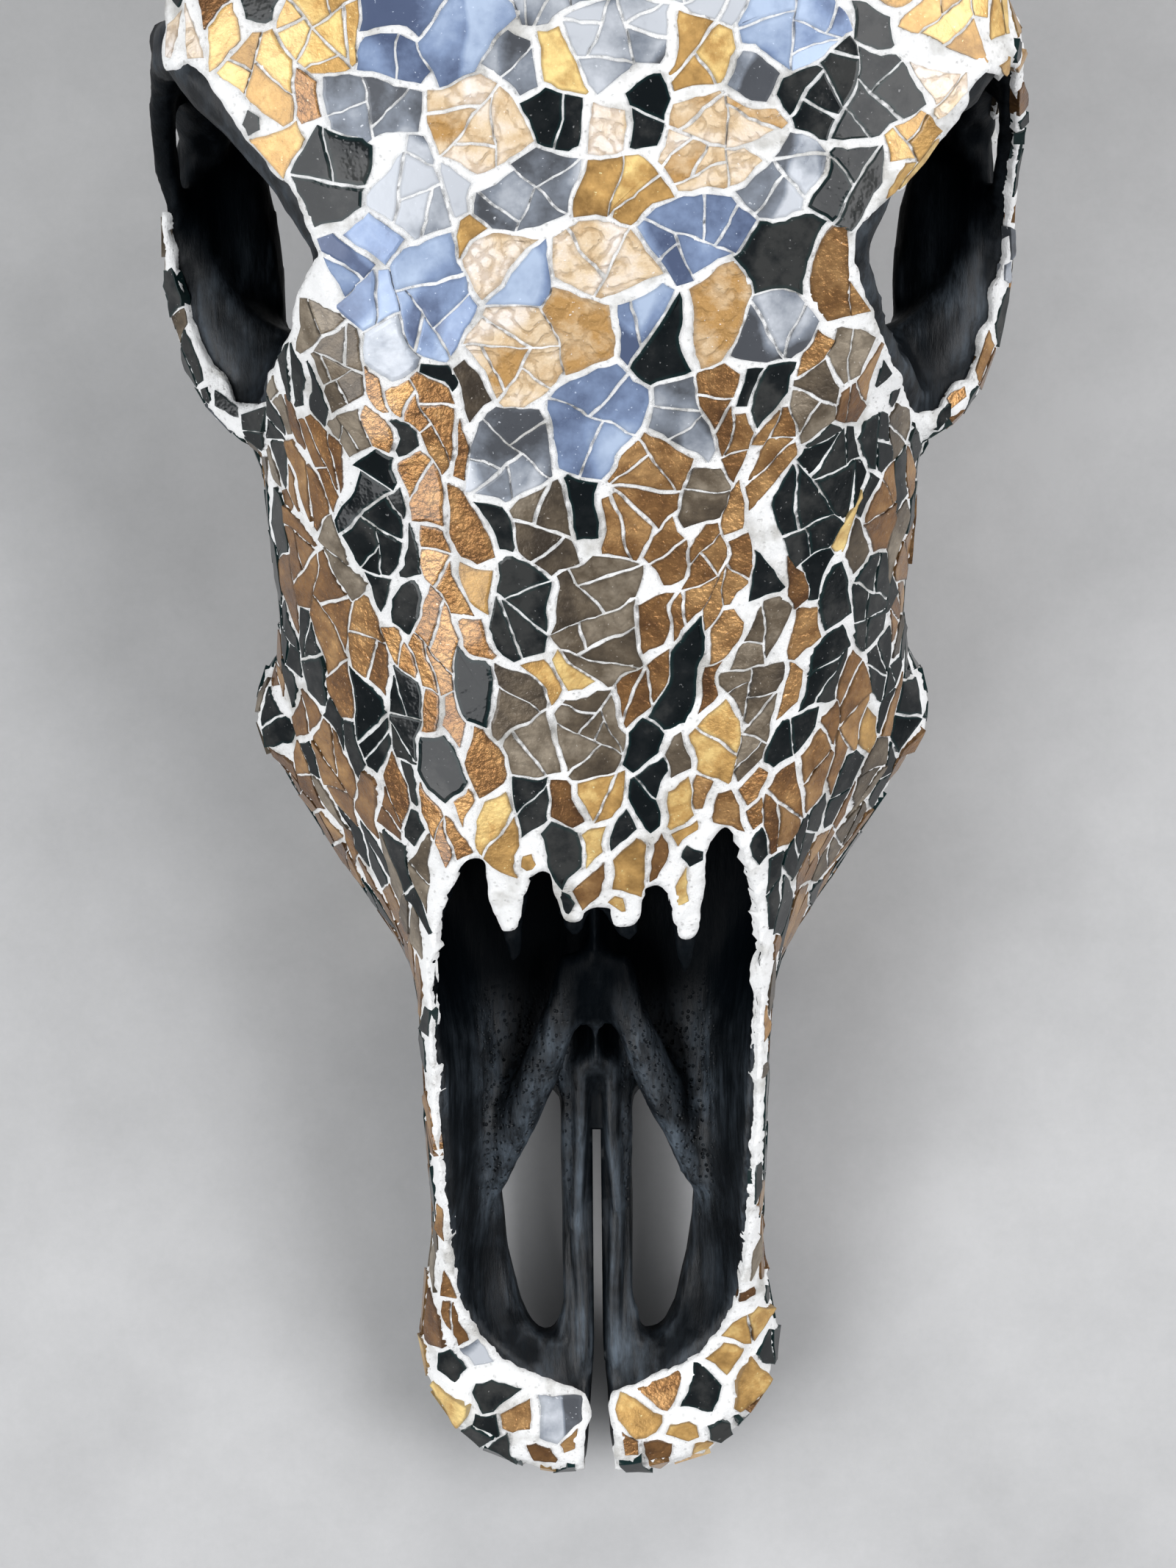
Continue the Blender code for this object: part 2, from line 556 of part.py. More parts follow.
def horn(sign, name):
    """One horn sheath, with a pocket for the bony core of the skull."""
    seat, along = horn_axis()
    line = smooth_line(HORN_LINE, 3, False)
    count = len(line)
    sides = 16
    rings = []
    for i, point in enumerate(line):
        ahead = Vector(line[min(i + 1, count - 1)]) - Vector(line[max(i - 1, 0)])
        direction = along if i < 2 else ahead.normalized()
        across = direction.cross(Vector((0, 0, 1))).normalized()
        over = across.cross(direction)
        share = i / (count - 1)
        radius = HORN_TIP_RADIUS + (HORN_BASE_RADIUS - HORN_TIP_RADIUS) * (1 - share**1.25)
        centre = place(*point) + (along * GAP * MM if i == 0 else Vector())
        ring = []
        for k in range(sides):
            angle = math.tau * k / sides
            ring.append(centre + (across * math.cos(angle) + over * math.sin(angle) * 0.93) * radius * MM)
        rings.append(ring)
    bm = bmesh.new()
    skin_rings(bm, rings)
    pocket = bmesh.new()
    turned = along.to_track_quat("Z", "Y").to_matrix().to_4x4()
    depth = CORE_LENGTH + 2
    bmesh.ops.create_cone(
        pocket, cap_ends=True, segments=24,
        radius1=(CORE_BASE_RADIUS + 0.6 + 10 * (CORE_BASE_RADIUS - CORE_TIP_RADIUS) / CORE_LENGTH) * MM,
        radius2=(CORE_TIP_RADIUS + 0.6) * MM,
        depth=(depth + 10) * MM,
        matrix=Matrix.Translation(seat) @ turned @ Matrix.Translation((0, 0, (depth - 10) / 2 * MM)),
    )
    if sign < 0:
        for mesh in (bm, pocket):
            mesh.transform(Matrix.Diagonal((-1, 1, 1, 1)))
            bmesh.ops.reverse_faces(mesh, faces=mesh.faces)
    obj = new_object(name, bm)
    cutter = new_object(name + "_pocket", pocket, helper=True)
    combine(obj, cutter, "DIFFERENCE")
    obj.data.materials.append(material("horn"))
    return obj


def teeth():
    """Six cheek teeth on each side, each set in its socket."""
    made = []
    for name, x, t, width, length in CHEEK_TEETH:
        for sign, side in ((1, "left"), (-1, "right")):
            bm = bmesh.new()
            tooth_body(bm, x * sign, t, width, length, 0, TOOTH_CROWN + TOOTH_ROOT, 0.0)
            obj = new_object(f"{name}_{side}", bm)
            obj.data.materials.append(material("tooth"))
            made.append(obj)
    return made


def centre_on_base(objects):
    """Moves everything so that the origin is the middle of the base of the whole object."""
    bpy.context.view_layer.update()
    graph = bpy.context.evaluated_depsgraph_get()
    corners = [
        obj.matrix_world @ Vector(corner)
        for obj in objects
        for corner in obj.evaluated_get(graph).bound_box
    ]
    middle = [(min(c[i] for c in corners) + max(c[i] for c in corners)) / 2 for i in (0, 1)]
    shift = Vector((-middle[0], -middle[1], -min(c.z for c in corners)))
    for obj in bpy.data.objects:
        obj.location += shift
    return shift


def main():
    for obj in list(bpy.data.objects):
        bpy.data.objects.remove(obj)
    parts = [skull(), horn(1, "horn_left"), horn(-1, "horn_right"), *teeth()]
    shift = centre_on_base(parts)
    print("origin moved by", [round(s * 1000, 2) for s in shift], "mm")


if __name__ == "__main__":
    main()
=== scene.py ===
"""Looks of the mosaic cow skull: painted bone, a grout bed, broken glass, horns and cheek teeth.

Everything is in metres, with +Z up from the biting plane of the teeth and the muzzle at -Y.
Sizes marked mm are in millimetres, and t is the distance in mm behind the tip of the muzzle.
"""

import logging
import math
import random
from dataclasses import dataclass, field, replace
from enum import Enum

import bmesh
import bpy
import numpy as np
from mathutils import Matrix, Vector, noise
from mathutils.bvhtree import BVHTree
from mathutils.kdtree import KDTree

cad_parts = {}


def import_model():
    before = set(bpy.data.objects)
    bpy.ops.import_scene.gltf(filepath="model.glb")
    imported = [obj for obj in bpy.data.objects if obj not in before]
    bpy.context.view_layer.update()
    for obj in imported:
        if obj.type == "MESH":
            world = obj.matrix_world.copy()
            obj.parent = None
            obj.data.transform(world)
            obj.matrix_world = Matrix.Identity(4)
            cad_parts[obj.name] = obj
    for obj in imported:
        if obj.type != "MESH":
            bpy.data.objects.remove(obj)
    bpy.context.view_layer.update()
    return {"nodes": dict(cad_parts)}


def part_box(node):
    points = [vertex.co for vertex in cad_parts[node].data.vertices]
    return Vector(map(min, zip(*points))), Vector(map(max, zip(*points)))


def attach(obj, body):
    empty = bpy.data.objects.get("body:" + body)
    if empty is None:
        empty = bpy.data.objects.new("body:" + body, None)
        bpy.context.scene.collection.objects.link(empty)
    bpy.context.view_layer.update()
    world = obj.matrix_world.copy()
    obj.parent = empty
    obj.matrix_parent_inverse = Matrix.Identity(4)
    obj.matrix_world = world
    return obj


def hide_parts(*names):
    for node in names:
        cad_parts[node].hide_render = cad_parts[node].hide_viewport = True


log = logging.getLogger("mosaic_cow_skull")

MM = 0.001
PHOTO_WIDTH = 1600
PHOTO_HEIGHT = 2133

Loop = list[Vector]
Colour = tuple[float, float, float]


# Finishes


class Glass(Enum):
    """The kinds of glass in the mosaic, three of which take a painted glare or reflection as their colour."""

    BLACK = "black"
    GOLD = "gold"
    # Gold foil, its pale whitish colour a painted glare of bright sky on the glass.
    GOLD_WITH_PAINTED_GLARE = "cream"
    BRONZE = "bronze"
    SMOKE = "smoke"
    # Black glass, its grey colour a painted reflection of a window.
    BLACK_WITH_PAINTED_GREY_REFLECTION = "silver"
    # Black glass, its bluish colour a painted reflection of the sky.
    BLACK_WITH_PAINTED_SKY_REFLECTION = "blue"


@dataclass(frozen=True)
class GlassFinish:
    """What one kind of glass looks like: a backing seen through a glossy face.

    tones run from the backing's darkest to its lightest; cloud_mm is how broad its stains are and
    grain_mm how broad its dimples; crackle is the strength of its folds, whose fold lines are also
    darkened as painted shade; reflection_streak is that of sharp-edged stripes of painted reflection;
    coat is the gloss over it; and rim is how far its face turns to the edge colour along its edges,
    as a painted shade of the glass's thickness, and on the black glass as its own greenish edge.
    """

    tones: tuple[Colour, Colour, Colour]
    edge: Colour
    metallic: float
    roughness: float
    coat: float
    cloud_mm: float
    grain_mm: float
    dimple_mm: float
    crackle: float
    reflection_streak: float
    rim: float


GLASS_FINISHES: dict[Glass, GlassFinish] = {
    Glass.BLACK: GlassFinish(
        tones=((0.003, 0.005, 0.006), (0.009, 0.011, 0.012), (0.034, 0.035, 0.034)),
        edge=(0.006, 0.030, 0.030), metallic=0.0, roughness=0.07, coat=0.0,
        cloud_mm=5.0, grain_mm=6.0, dimple_mm=0.1, crackle=0.0, reflection_streak=0.16, rim=0.5,
    ),
    Glass.GOLD: GlassFinish(
        tones=((0.27, 0.15, 0.045), (0.54, 0.32, 0.105), (0.88, 0.66, 0.27)),
        edge=(0.13, 0.085, 0.04), metallic=0.35, roughness=0.42, coat=0.4,
        cloud_mm=6.0, grain_mm=0.8, dimple_mm=0.20, crackle=0.15, reflection_streak=0.0, rim=0.6,
    ),
    # Gold foil under a painted glare of bright sky.
    Glass.GOLD_WITH_PAINTED_GLARE: GlassFinish(
        tones=((0.44, 0.25, 0.085), (0.69, 0.54, 0.36), (0.82, 0.75, 0.69)),
        edge=(0.24, 0.18, 0.12), metallic=0.15, roughness=0.42, coat=0.4,
        cloud_mm=9.0, grain_mm=0.9, dimple_mm=0.34, crackle=0.55, reflection_streak=0.12, rim=0.5,
    ),
    Glass.BRONZE: GlassFinish(
        tones=((0.12, 0.055, 0.022), (0.27, 0.135, 0.048), (0.52, 0.30, 0.12)),
        edge=(0.05, 0.028, 0.014), metallic=0.60, roughness=0.30, coat=0.5,
        cloud_mm=7.0, grain_mm=1.4, dimple_mm=0.34, crackle=0.15, reflection_streak=0.0, rim=0.55,
    ),
    Glass.SMOKE: GlassFinish(
        tones=((0.045, 0.034, 0.024), (0.12, 0.092, 0.062), (0.31, 0.26, 0.195)),
        edge=(0.03, 0.026, 0.02), metallic=0.30, roughness=0.36, coat=0.35,
        cloud_mm=8.0, grain_mm=1.1, dimple_mm=0.18, crackle=0.2, reflection_streak=0.05, rim=0.4,
    ),
    # Black glass under a painted grey reflection of a window.
    Glass.BLACK_WITH_PAINTED_GREY_REFLECTION: GlassFinish(
        tones=((0.07, 0.075, 0.085), (0.22, 0.245, 0.285), (0.54, 0.565, 0.605)),
        edge=(0.10, 0.11, 0.12), metallic=0.25, roughness=0.34, coat=0.25,
        cloud_mm=14.0, grain_mm=5.0, dimple_mm=0.12, crackle=0.0, reflection_streak=0.30, rim=0.3,
    ),
    # Black glass under a painted bluish reflection of the sky.
    Glass.BLACK_WITH_PAINTED_SKY_REFLECTION: GlassFinish(
        tones=((0.075, 0.10, 0.175), (0.21, 0.28, 0.43), (0.41, 0.50, 0.65)),
        edge=(0.05, 0.08, 0.13), metallic=0.20, roughness=0.34, coat=0.25,
        cloud_mm=14.0, grain_mm=5.0, dimple_mm=0.12, crackle=0.0, reflection_streak=0.22, rim=0.3,
    ),
}


class Shader:
    """A Principled material under construction, with short ways to add its nodes."""

    def __init__(self, name: str, **sockets: float | tuple) -> None:
        """Makes the material.

        Args:
            name: the material's name.
            sockets: constants for the shader's own sockets, with spaces as underscores.
        """
        self.material = bpy.data.materials.new(name)
        self.material.use_nodes = True
        self.tree = self.material.node_tree
        self.surface = self.tree.nodes["Principled BSDF"]
        for key, value in sockets.items():
            shown = (*value, 1.0) if isinstance(value, tuple) and len(value) == 3 else value
            self.surface.inputs[key.replace("_", " ")].default_value = shown
        self.place = self.tree.nodes.new("ShaderNodeTexCoord").outputs["Object"]

    def link(self, source: bpy.types.NodeSocket, target: bpy.types.NodeSocket) -> None:
        """Joins two sockets."""
        self.tree.links.new(source, target)

    def to(self, source: bpy.types.NodeSocket, socket: str) -> None:
        """Feeds one of the shader's sockets."""
        self.link(source, self.surface.inputs[socket])

    def stretched(self, scale: Colour) -> bpy.types.NodeSocket:
        """Object coordinates scaled by a factor on each axis."""
        node = self.tree.nodes.new("ShaderNodeMapping")
        node.inputs["Scale"].default_value = scale
        self.link(self.place, node.inputs["Vector"])
        return node.outputs["Vector"]

    def noise(
        self, grain_mm: float, detail: float = 3.0, rough: float = 0.5, place: bpy.types.NodeSocket | None = None
    ) -> bpy.types.NodeSocket:
        """A noise value.

        Args:
            grain_mm: the size of its largest blobs.
            detail: how many finer layers it has.
            rough: how strong those are.
            place: coordinates other than the object's own.

        Returns:
            The noise's value, about 0.3 to 0.7.
        """
        node = self.tree.nodes.new("ShaderNodeTexNoise")
        node.inputs["Scale"].default_value = 1000.0 / grain_mm
        node.inputs["Detail"].default_value = detail
        node.inputs["Roughness"].default_value = rough
        self.link(place or self.place, node.inputs["Vector"])
        return node.outputs["Fac"]

    def cells(self, size_mm: float, feature: str = "DISTANCE_TO_EDGE") -> bpy.types.NodeSocket:
        """A Voronoi pattern: by default the distance to the edge of its cells."""
        node = self.tree.nodes.new("ShaderNodeTexVoronoi")
        node.feature = feature
        node.inputs["Scale"].default_value = 1000.0 / size_mm
        self.link(self.warped(size_mm), node.inputs["Vector"])
        return node.outputs["Distance"]

    def ridges(self, size_mm: float) -> bpy.types.NodeSocket:
        """A branching net of sharp folds, 1 along their crests."""
        node = self.tree.nodes.new("ShaderNodeTexNoise")
        node.noise_type = "RIDGED_MULTIFRACTAL"
        node.inputs["Scale"].default_value = 1000.0 / size_mm
        node.inputs["Detail"].default_value = 2.0
        node.inputs["Roughness"].default_value = 0.5
        node.inputs["Offset"].default_value = 0.9
        node.inputs["Gain"].default_value = 1.2
        self.link(self.warped(size_mm), node.inputs["Vector"])
        return node.outputs["Fac"]

    def attribute(self, name: str) -> bpy.types.NodeSocket:
        """A value stored on the piece's own points."""
        node = self.tree.nodes.new("ShaderNodeAttribute")
        node.attribute_name = name
        return node.outputs["Fac"]

    def warped(self, size_mm: float) -> bpy.types.NodeSocket:
        """Object coordinates pushed about by a noise, so that cells lose their straight edges."""
        wobble = self.tree.nodes.new("ShaderNodeTexNoise")
        wobble.inputs["Scale"].default_value = 700.0 / size_mm
        self.link(self.place, wobble.inputs["Vector"])
        add = self.tree.nodes.new("ShaderNodeVectorMath")
        add.operation = "MULTIPLY_ADD"
        add.inputs[1].default_value = (size_mm * MM * 0.5,) * 3
        self.link(wobble.outputs["Color"], add.inputs[0])
        self.link(self.place, add.inputs[2])
        return add.outputs["Vector"]

    def island(self) -> bpy.types.NodeSocket:
        """A random value for each separate shard."""
        return self.tree.nodes.new("ShaderNodeNewGeometry").outputs["Random Per Island"]

    def ramp(self, value: bpy.types.NodeSocket, *stops: tuple[float, Colour]) -> bpy.types.NodeSocket:
        """Colours along a value, as (position, colour) pairs."""
        node = self.tree.nodes.new("ShaderNodeValToRGB")
        elements = node.color_ramp.elements
        while len(elements) < len(stops):
            elements.new(0.5)
        for element, (position, colour) in zip(elements, stops):
            element.position = position
            element.color = (*colour, 1.0)
        self.link(value, node.inputs["Fac"])
        return node.outputs["Color"]

    def span(self, value: bpy.types.NodeSocket, low: float, high: float, to_low: float, to_high: float) -> bpy.types.NodeSocket:
        """A value carried from one span to another, held at the ends."""
        node = self.tree.nodes.new("ShaderNodeMapRange")
        for key, number in zip(("From Min", "From Max", "To Min", "To Max"), (low, high, to_low, to_high)):
            node.inputs[key].default_value = number
        self.link(value, node.inputs["Value"])
        return node.outputs["Result"]

    def math(self, operation: str, *values: bpy.types.NodeSocket | float) -> bpy.types.NodeSocket:
        """A sum on values or numbers."""
        node = self.tree.nodes.new("ShaderNodeMath")
        node.operation = operation
        for socket, value in zip(node.inputs, values):
            if isinstance(value, (int, float)):
                socket.default_value = value
            else:
                self.link(value, socket)
        return node.outputs["Value"]

    def blend(
        self, share: bpy.types.NodeSocket, first: bpy.types.NodeSocket | Colour, second: bpy.types.NodeSocket | Colour
    ) -> bpy.types.NodeSocket:
        """A mix of two colours by a share between 0 and 1."""
        node = self.tree.nodes.new("ShaderNodeMix")
        node.data_type = "RGBA"
        self.link(share, node.inputs["Factor"])
        for key, colour in (("A", first), ("B", second)):
            socket = next(i for i in node.inputs if i.name == key and i.type == "RGBA")
            if isinstance(colour, tuple):
                socket.default_value = (*colour, 1.0)
            else:
                self.link(colour, socket)
        return next(o for o in node.outputs if o.type == "RGBA")

    def bump(self, height: bpy.types.NodeSocket, depth_mm: float, under: bpy.types.NodeSocket | None = None) -> bpy.types.NodeSocket:
        """A bumped normal.

        Args:
            height: the height, where 1 is the full depth.
            depth_mm: the depth at 1.
            under: a normal that this one lies on.

        Returns:
            The normal.
        """
        node = self.tree.nodes.new("ShaderNodeBump")
        node.inputs["Distance"].default_value = depth_mm * MM
        self.link(height, node.inputs["Height"])
        if under:
            self.link(under, node.inputs["Normal"])
        return node.outputs["Normal"]


def glass_face(kind: Glass, finish: GlassFinish) -> bpy.types.Material:
    """The face of one kind of glass: crumpled foil or dark body under a glossy skin."""
    shader = Shader(
        f"{kind.value}_glass",
        Metallic=finish.metallic,
        IOR=1.5,
        Coat_Weight=finish.coat,
        Coat_Roughness=0.05,
        Specular_IOR_Level=0.20,
    )
    cloud = shader.span(shader.noise(finish.cloud_mm, 5, 0.62), 0.30, 0.70, 0.0, 1.0)
    tone = shader.math("ADD", shader.math("MULTIPLY", cloud, 0.55), shader.math("MULTIPLY", shader.island(), 0.45))
    # Sharp-edged light and dark stripes across the face: painted reflections of the room.
    if finish.reflection_streak:
        bands = shader.span(shader.noise(17.0, 1, 0.3, shader.stretched((1.0, 0.5, 1.0))), 0.47, 0.53, -1.0, 1.0)
        tone = shader.math("ADD", tone, shader.math("MULTIPLY", bands, finish.reflection_streak))
    dark, middle, light = finish.tones
    colour = shader.ramp(tone, (0.12, dark), (0.48, middle), (0.86, light))
    height = shader.noise(finish.grain_mm, 3, 0.6)
    if finish.crackle:
        # The fold lines are bumped in and darkened in colour; the darkening is a painted shade in the folds.
        creases = shader.span(shader.ridges(4.2), 0.66, 1.0, 0.0, 1.0)
        shade = shader.math("MULTIPLY", creases, finish.crackle * 0.75)
        colour = shader.blend(shade, colour, tuple(c * 0.62 for c in dark))
        height = shader.math("SUBTRACT", height, shader.math("MULTIPLY", creases, 1.2 * finish.crackle))
    # Small bright specks on the face: painted glints.
    glint_flecks = shader.span(shader.noise(0.9, 2, 0.5), 0.70, 0.75, 0.0, 0.6)
    colour = shader.blend(glint_flecks, colour, tuple(min(0.9, 0.25 + c) for c in light))
    # Along each shard's edge the colour turns to the edge colour: a painted shade of the glass's thickness, and on the
    # black glass its own greenish edge.
    rim = shader.span(shader.attribute("clear"), 0.0, 1.0, finish.rim, 0.0)
    shader.to(shader.blend(rim, colour, finish.edge), "Base Color")
    shader.to(shader.span(cloud, 0.0, 1.0, finish.roughness * 0.7, finish.roughness * 1.4), "Roughness")
    skin = shader.bump(shader.noise(24.0, 1, 0.4), 0.3)
    if finish.coat:
        shader.link(skin, shader.surface.inputs["Coat Normal"])
    shader.to(shader.bump(height, finish.dimple_mm, skin), "Normal")
    return shader.material


def glass_edge(kind: Glass, finish: GlassFinish) -> bpy.types.Material:
    """The broken edge of one kind of glass."""
    shader = Shader(f"{kind.value}_glass_edge", IOR=1.52, Specular_IOR_Level=0.4)
    chips = shader.noise(1.4, 4, 0.6)
    shader.to(shader.ramp(chips, (0.35, tuple(c * 0.5 for c in finish.edge)), (0.7, finish.edge)), "Base Color")
    shader.to(shader.span(chips, 0.3, 0.7, 0.2, 0.5), "Roughness")
    shader.to(shader.bump(chips, 0.5), "Normal")
    return shader.material


@dataclass(frozen=True)
class GroutFinish:
    """Dry white grout, smeared by hand."""

    chalk: Colour = (0.90, 0.90, 0.89)
    dirt: Colour = (0.58, 0.57, 0.54)

    def dress(self) -> bpy.types.Material:
        """Makes the material."""
        shader = Shader("white_grout", Roughness=0.92, Specular_IOR_Level=0.25)
        sand = shader.noise(0.9, 6, 0.75)
        stain = shader.noise(14.0, 4, 0.6)
        colour = shader.ramp(stain, (0.34, self.dirt), (0.47, self.chalk), (0.8, (0.93, 0.93, 0.92)))
        pits = shader.span(shader.cells(1.7, "F1"), 0.05, 0.25, 1.0, 0.0)
        shader.to(shader.blend(shader.math("MULTIPLY", pits, 0.45), colour, self.dirt), "Base Color")
        drags = shader.noise(2.5, 4, 0.6, shader.stretched((1.0, 0.35, 1.0)))
        height = shader.math("ADD", shader.math("MULTIPLY", sand, 0.6), drags)
        shader.to(shader.bump(shader.math("SUBTRACT", height, shader.math("MULTIPLY", pits, 0.4)), 0.8), "Normal")
        return shader.material


@dataclass(frozen=True)
class BonePaint:
    """Black paint on old bone: a cool grey where it is dry-brushed or worn and where a painted sheen lies, pitted where
    it is porous.
    """

    black: Colour = (0.0009, 0.0018, 0.0028)
    sheen: Colour = (0.088, 0.112, 0.138)

    def dress(self) -> bpy.types.Material:
        """Makes the material."""
        shader = Shader("painted_bone")
        grain = shader.noise(3.2, 6, 0.7, shader.stretched((1.0, 0.16, 1.0)))
        cloud = shader.noise(16.0, 4, 0.6)
        pores = shader.span(shader.cells(1.5, "F1"), 0.10, 0.36, 1.0, 0.0)
        pores = shader.math("MULTIPLY", pores, shader.attribute("porous"))
        # The cool grey share: dry-brushed wear mixed with a painted highlight and sheen, already held back as painted
        # shade in deep places.
        brushed = shader.math("MULTIPLY", shader.span(grain, 0.42, 0.66, 0.1, 1.0), shader.span(cloud, 0.36, 0.6, 0.1, 1.0))
        wear_and_sheen = shader.attribute("wear_and_sheen")
        share = shader.math("MULTIPLY", brushed, wear_and_sheen)
        share = shader.math("MULTIPLY", share, shader.span(pores, 0.0, 1.0, 1.0, 0.3))
        share = shader.math("MAXIMUM", share, 0.0)
        shader.to(shader.blend(shader.math("MINIMUM", share, 1.0), self.black, self.sheen), "Base Color")
        shader.to(shader.span(wear_and_sheen, 0.0, 0.5, 0.02, 0.30), "Specular IOR Level")
        shader.to(shader.span(grain, 0.3, 0.7, 0.36, 0.6), "Roughness")
        shader.to(shader.bump(shader.math("SUBTRACT", grain, pores), 0.4), "Normal")
        return shader.material


@dataclass(frozen=True)
class HornFinish:
    """Dark horn with growth streaks and paler clouds."""

    dark: Colour = (0.012, 0.009, 0.008)
    pale: Colour = (0.13, 0.085, 0.05)

    def dress(self) -> bpy.types.Material:
        """Makes the material."""
        shader = Shader("horn", Specular_IOR_Level=0.35)
        fibres = shader.noise(9.0, 6, 0.7, shader.stretched((1.0, 1.0, 3.0)))
        clouds = shader.noise(40.0, 3, 0.5)
        tone = shader.math("ADD", shader.math("MULTIPLY", fibres, 0.55), shader.math("MULTIPLY", clouds, 0.45))
        shader.to(shader.ramp(tone, (0.40, self.dark), (0.58, (0.035, 0.024, 0.017)), (0.75, self.pale)), "Base Color")
        shader.to(shader.span(fibres, 0.3, 0.7, 0.36, 0.6), "Roughness")
        shader.to(shader.bump(fibres, 0.3), "Normal")
        return shader.material


@dataclass(frozen=True)
class ToothFinish:
    """Worn enamel, stained brown in its grooves and towards the gum."""

    enamel: Colour = (0.62, 0.56, 0.44)
    stain: Colour = (0.10, 0.065, 0.035)

    def dress(self) -> bpy.types.Material:
        """Makes the material."""
        shader = Shader("tooth", Specular_IOR_Level=0.5)
        streaks = shader.noise(3.0, 5, 0.65, shader.stretched((1.0, 1.0, 0.25)))
        hollow = shader.span(
            shader.tree.nodes.new("ShaderNodeNewGeometry").outputs["Pointiness"], 0.44, 0.5, 1.0, 0.0
        )
        split = shader.tree.nodes.new("ShaderNodeSeparateXYZ")
        shader.link(shader.place, split.inputs[0])
        gum = shader.span(split.outputs["Z"], 0.003, 0.016, 0.0, 0.75)
        share = shader.math("MAXIMUM", hollow, shader.math("MULTIPLY", gum, shader.span(streaks, 0.35, 0.6, 0.3, 1.0)))
        shader.to(shader.blend(share, self.enamel, self.stain), "Base Color")
        shader.to(shader.span(streaks, 0.3, 0.7, 0.22, 0.5), "Roughness")
        shader.to(shader.bump(streaks, 0.3), "Normal")
        return shader.material


# Shared mesh work


def finish_piece(obj: bpy.types.Object, materials: list[bpy.types.Material]) -> bpy.types.Object:
    """Dresses a piece and lets it ride with the skull.

    Args:
        obj: the piece.
        materials: its materials, in slot order.

    Returns:
        The piece.
    """
    obj.data.materials.clear()
    for material in materials:
        obj.data.materials.append(material)
    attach(obj, "root")
    log.info("%s: %d faces", obj.name, len(obj.data.polygons))
    return obj


def object_from(bm: bmesh.types.BMesh, name: str, smooth: bool) -> bpy.types.Object:
    """Links a bmesh as an object.

    Args:
        bm: the bmesh, which is freed.
        name: the object's name.
        smooth: whether its faces are shaded smooth.

    Returns:
        The object.
    """
    mesh = bpy.data.meshes.new(name)
    bm.to_mesh(mesh)
    bm.free()
    mesh.polygons.foreach_set("use_smooth", [smooth] * len(mesh.polygons))
    obj = bpy.data.objects.new(name, mesh)
    bpy.context.scene.collection.objects.link(obj)
    return obj


def applied(obj: bpy.types.Object) -> bpy.types.Object:
    """Applies an object's modifiers, and shades it smooth."""
    mesh = bpy.data.meshes.new_from_object(obj.evaluated_get(bpy.context.evaluated_depsgraph_get()))
    obj.modifiers.clear()
    rough, obj.data = obj.data, mesh
    bpy.data.meshes.remove(rough)
    mesh.polygons.foreach_set("use_smooth", [True] * len(mesh.polygons))
    return obj


def remeshed_copy(node: bpy.types.Object, name: str, voxel_mm: float, smoothing: int) -> bpy.types.Object:
    """A CAD node's shape with an even, smoothed skin.

    Args:
        node: the CAD node, which stays as it is.
        name: the copy's name.
        voxel_mm: the skin's face size.
        smoothing: how often it is smoothed, each time with a swell that keeps its fine ends.

    Returns:
        The copy, with its modifiers applied.
    """
    bm = bmesh.new()
    bm.from_mesh(node.data)
    bmesh.ops.remove_doubles(bm, verts=bm.verts, dist=1e-6)
    obj = object_from(bm, name, True)
    remesh = obj.modifiers.new("skin", "REMESH")
    remesh.mode = "VOXEL"
    remesh.voxel_size = voxel_mm * MM
    for i in range(smoothing):
        for label, factor in (("soften", 0.55), ("swell", -0.57)):
            modifier = obj.modifiers.new(f"{label}_{i}", "SMOOTH")
            modifier.factor = factor
            modifier.iterations = 1
    return applied(obj)


def read_vectors(collection: bpy.types.bpy_prop_collection, key: str) -> np.ndarray:
    """A three-number property of every item, as rows."""
    flat = np.empty(len(collection) * 3, dtype=np.float32)
    collection.foreach_get(key, flat)
    return flat.reshape(-1, 3).astype(float)


def fade(values: np.ndarray, start: float, full: float, wane: float, end: float) -> np.ndarray:
    """A share that rises from 0 at start to 1 at full, and falls from 1 at wane to 0 at end."""
    return np.interp(values, (start, full, wane, end), (0.0, 1.0, 1.0, 0.0))


def unit(rows: np.ndarray) -> np.ndarray:
    """Rows scaled to length one."""
    return rows / np.maximum(np.linalg.norm(rows, axis=1, keepdims=True), 1e-12)


def clear_of(outline: tuple, x: np.ndarray, t: np.ndarray) -> np.ndarray:
    """How far points lie outside a closed outline in plan, negative inside it.

    Args:
        outline: its corners, x and t in mm.
        x, t: the points.

    Returns:
        The distance of each point in mm.
    """
    nearest = np.full(len(x), 1e6)
    inside = np.zeros(len(x), dtype=bool)
    for (ax, at), (bx, bt) in zip(outline, outline[1:] + outline[:1]):
        run, rise = bx - ax, bt - at
        share = np.clip(((x - ax) * run + (t - at) * rise) / (run * run + rise * rise), 0, 1)
        nearest = np.minimum(nearest, np.hypot(x - ax - share * run, t - at - share * rise))
        if at != bt:
            inside ^= ((at > t) != (bt > t)) & (x < run * (t - at) / rise + ax)
    return np.where(inside, -nearest, nearest)


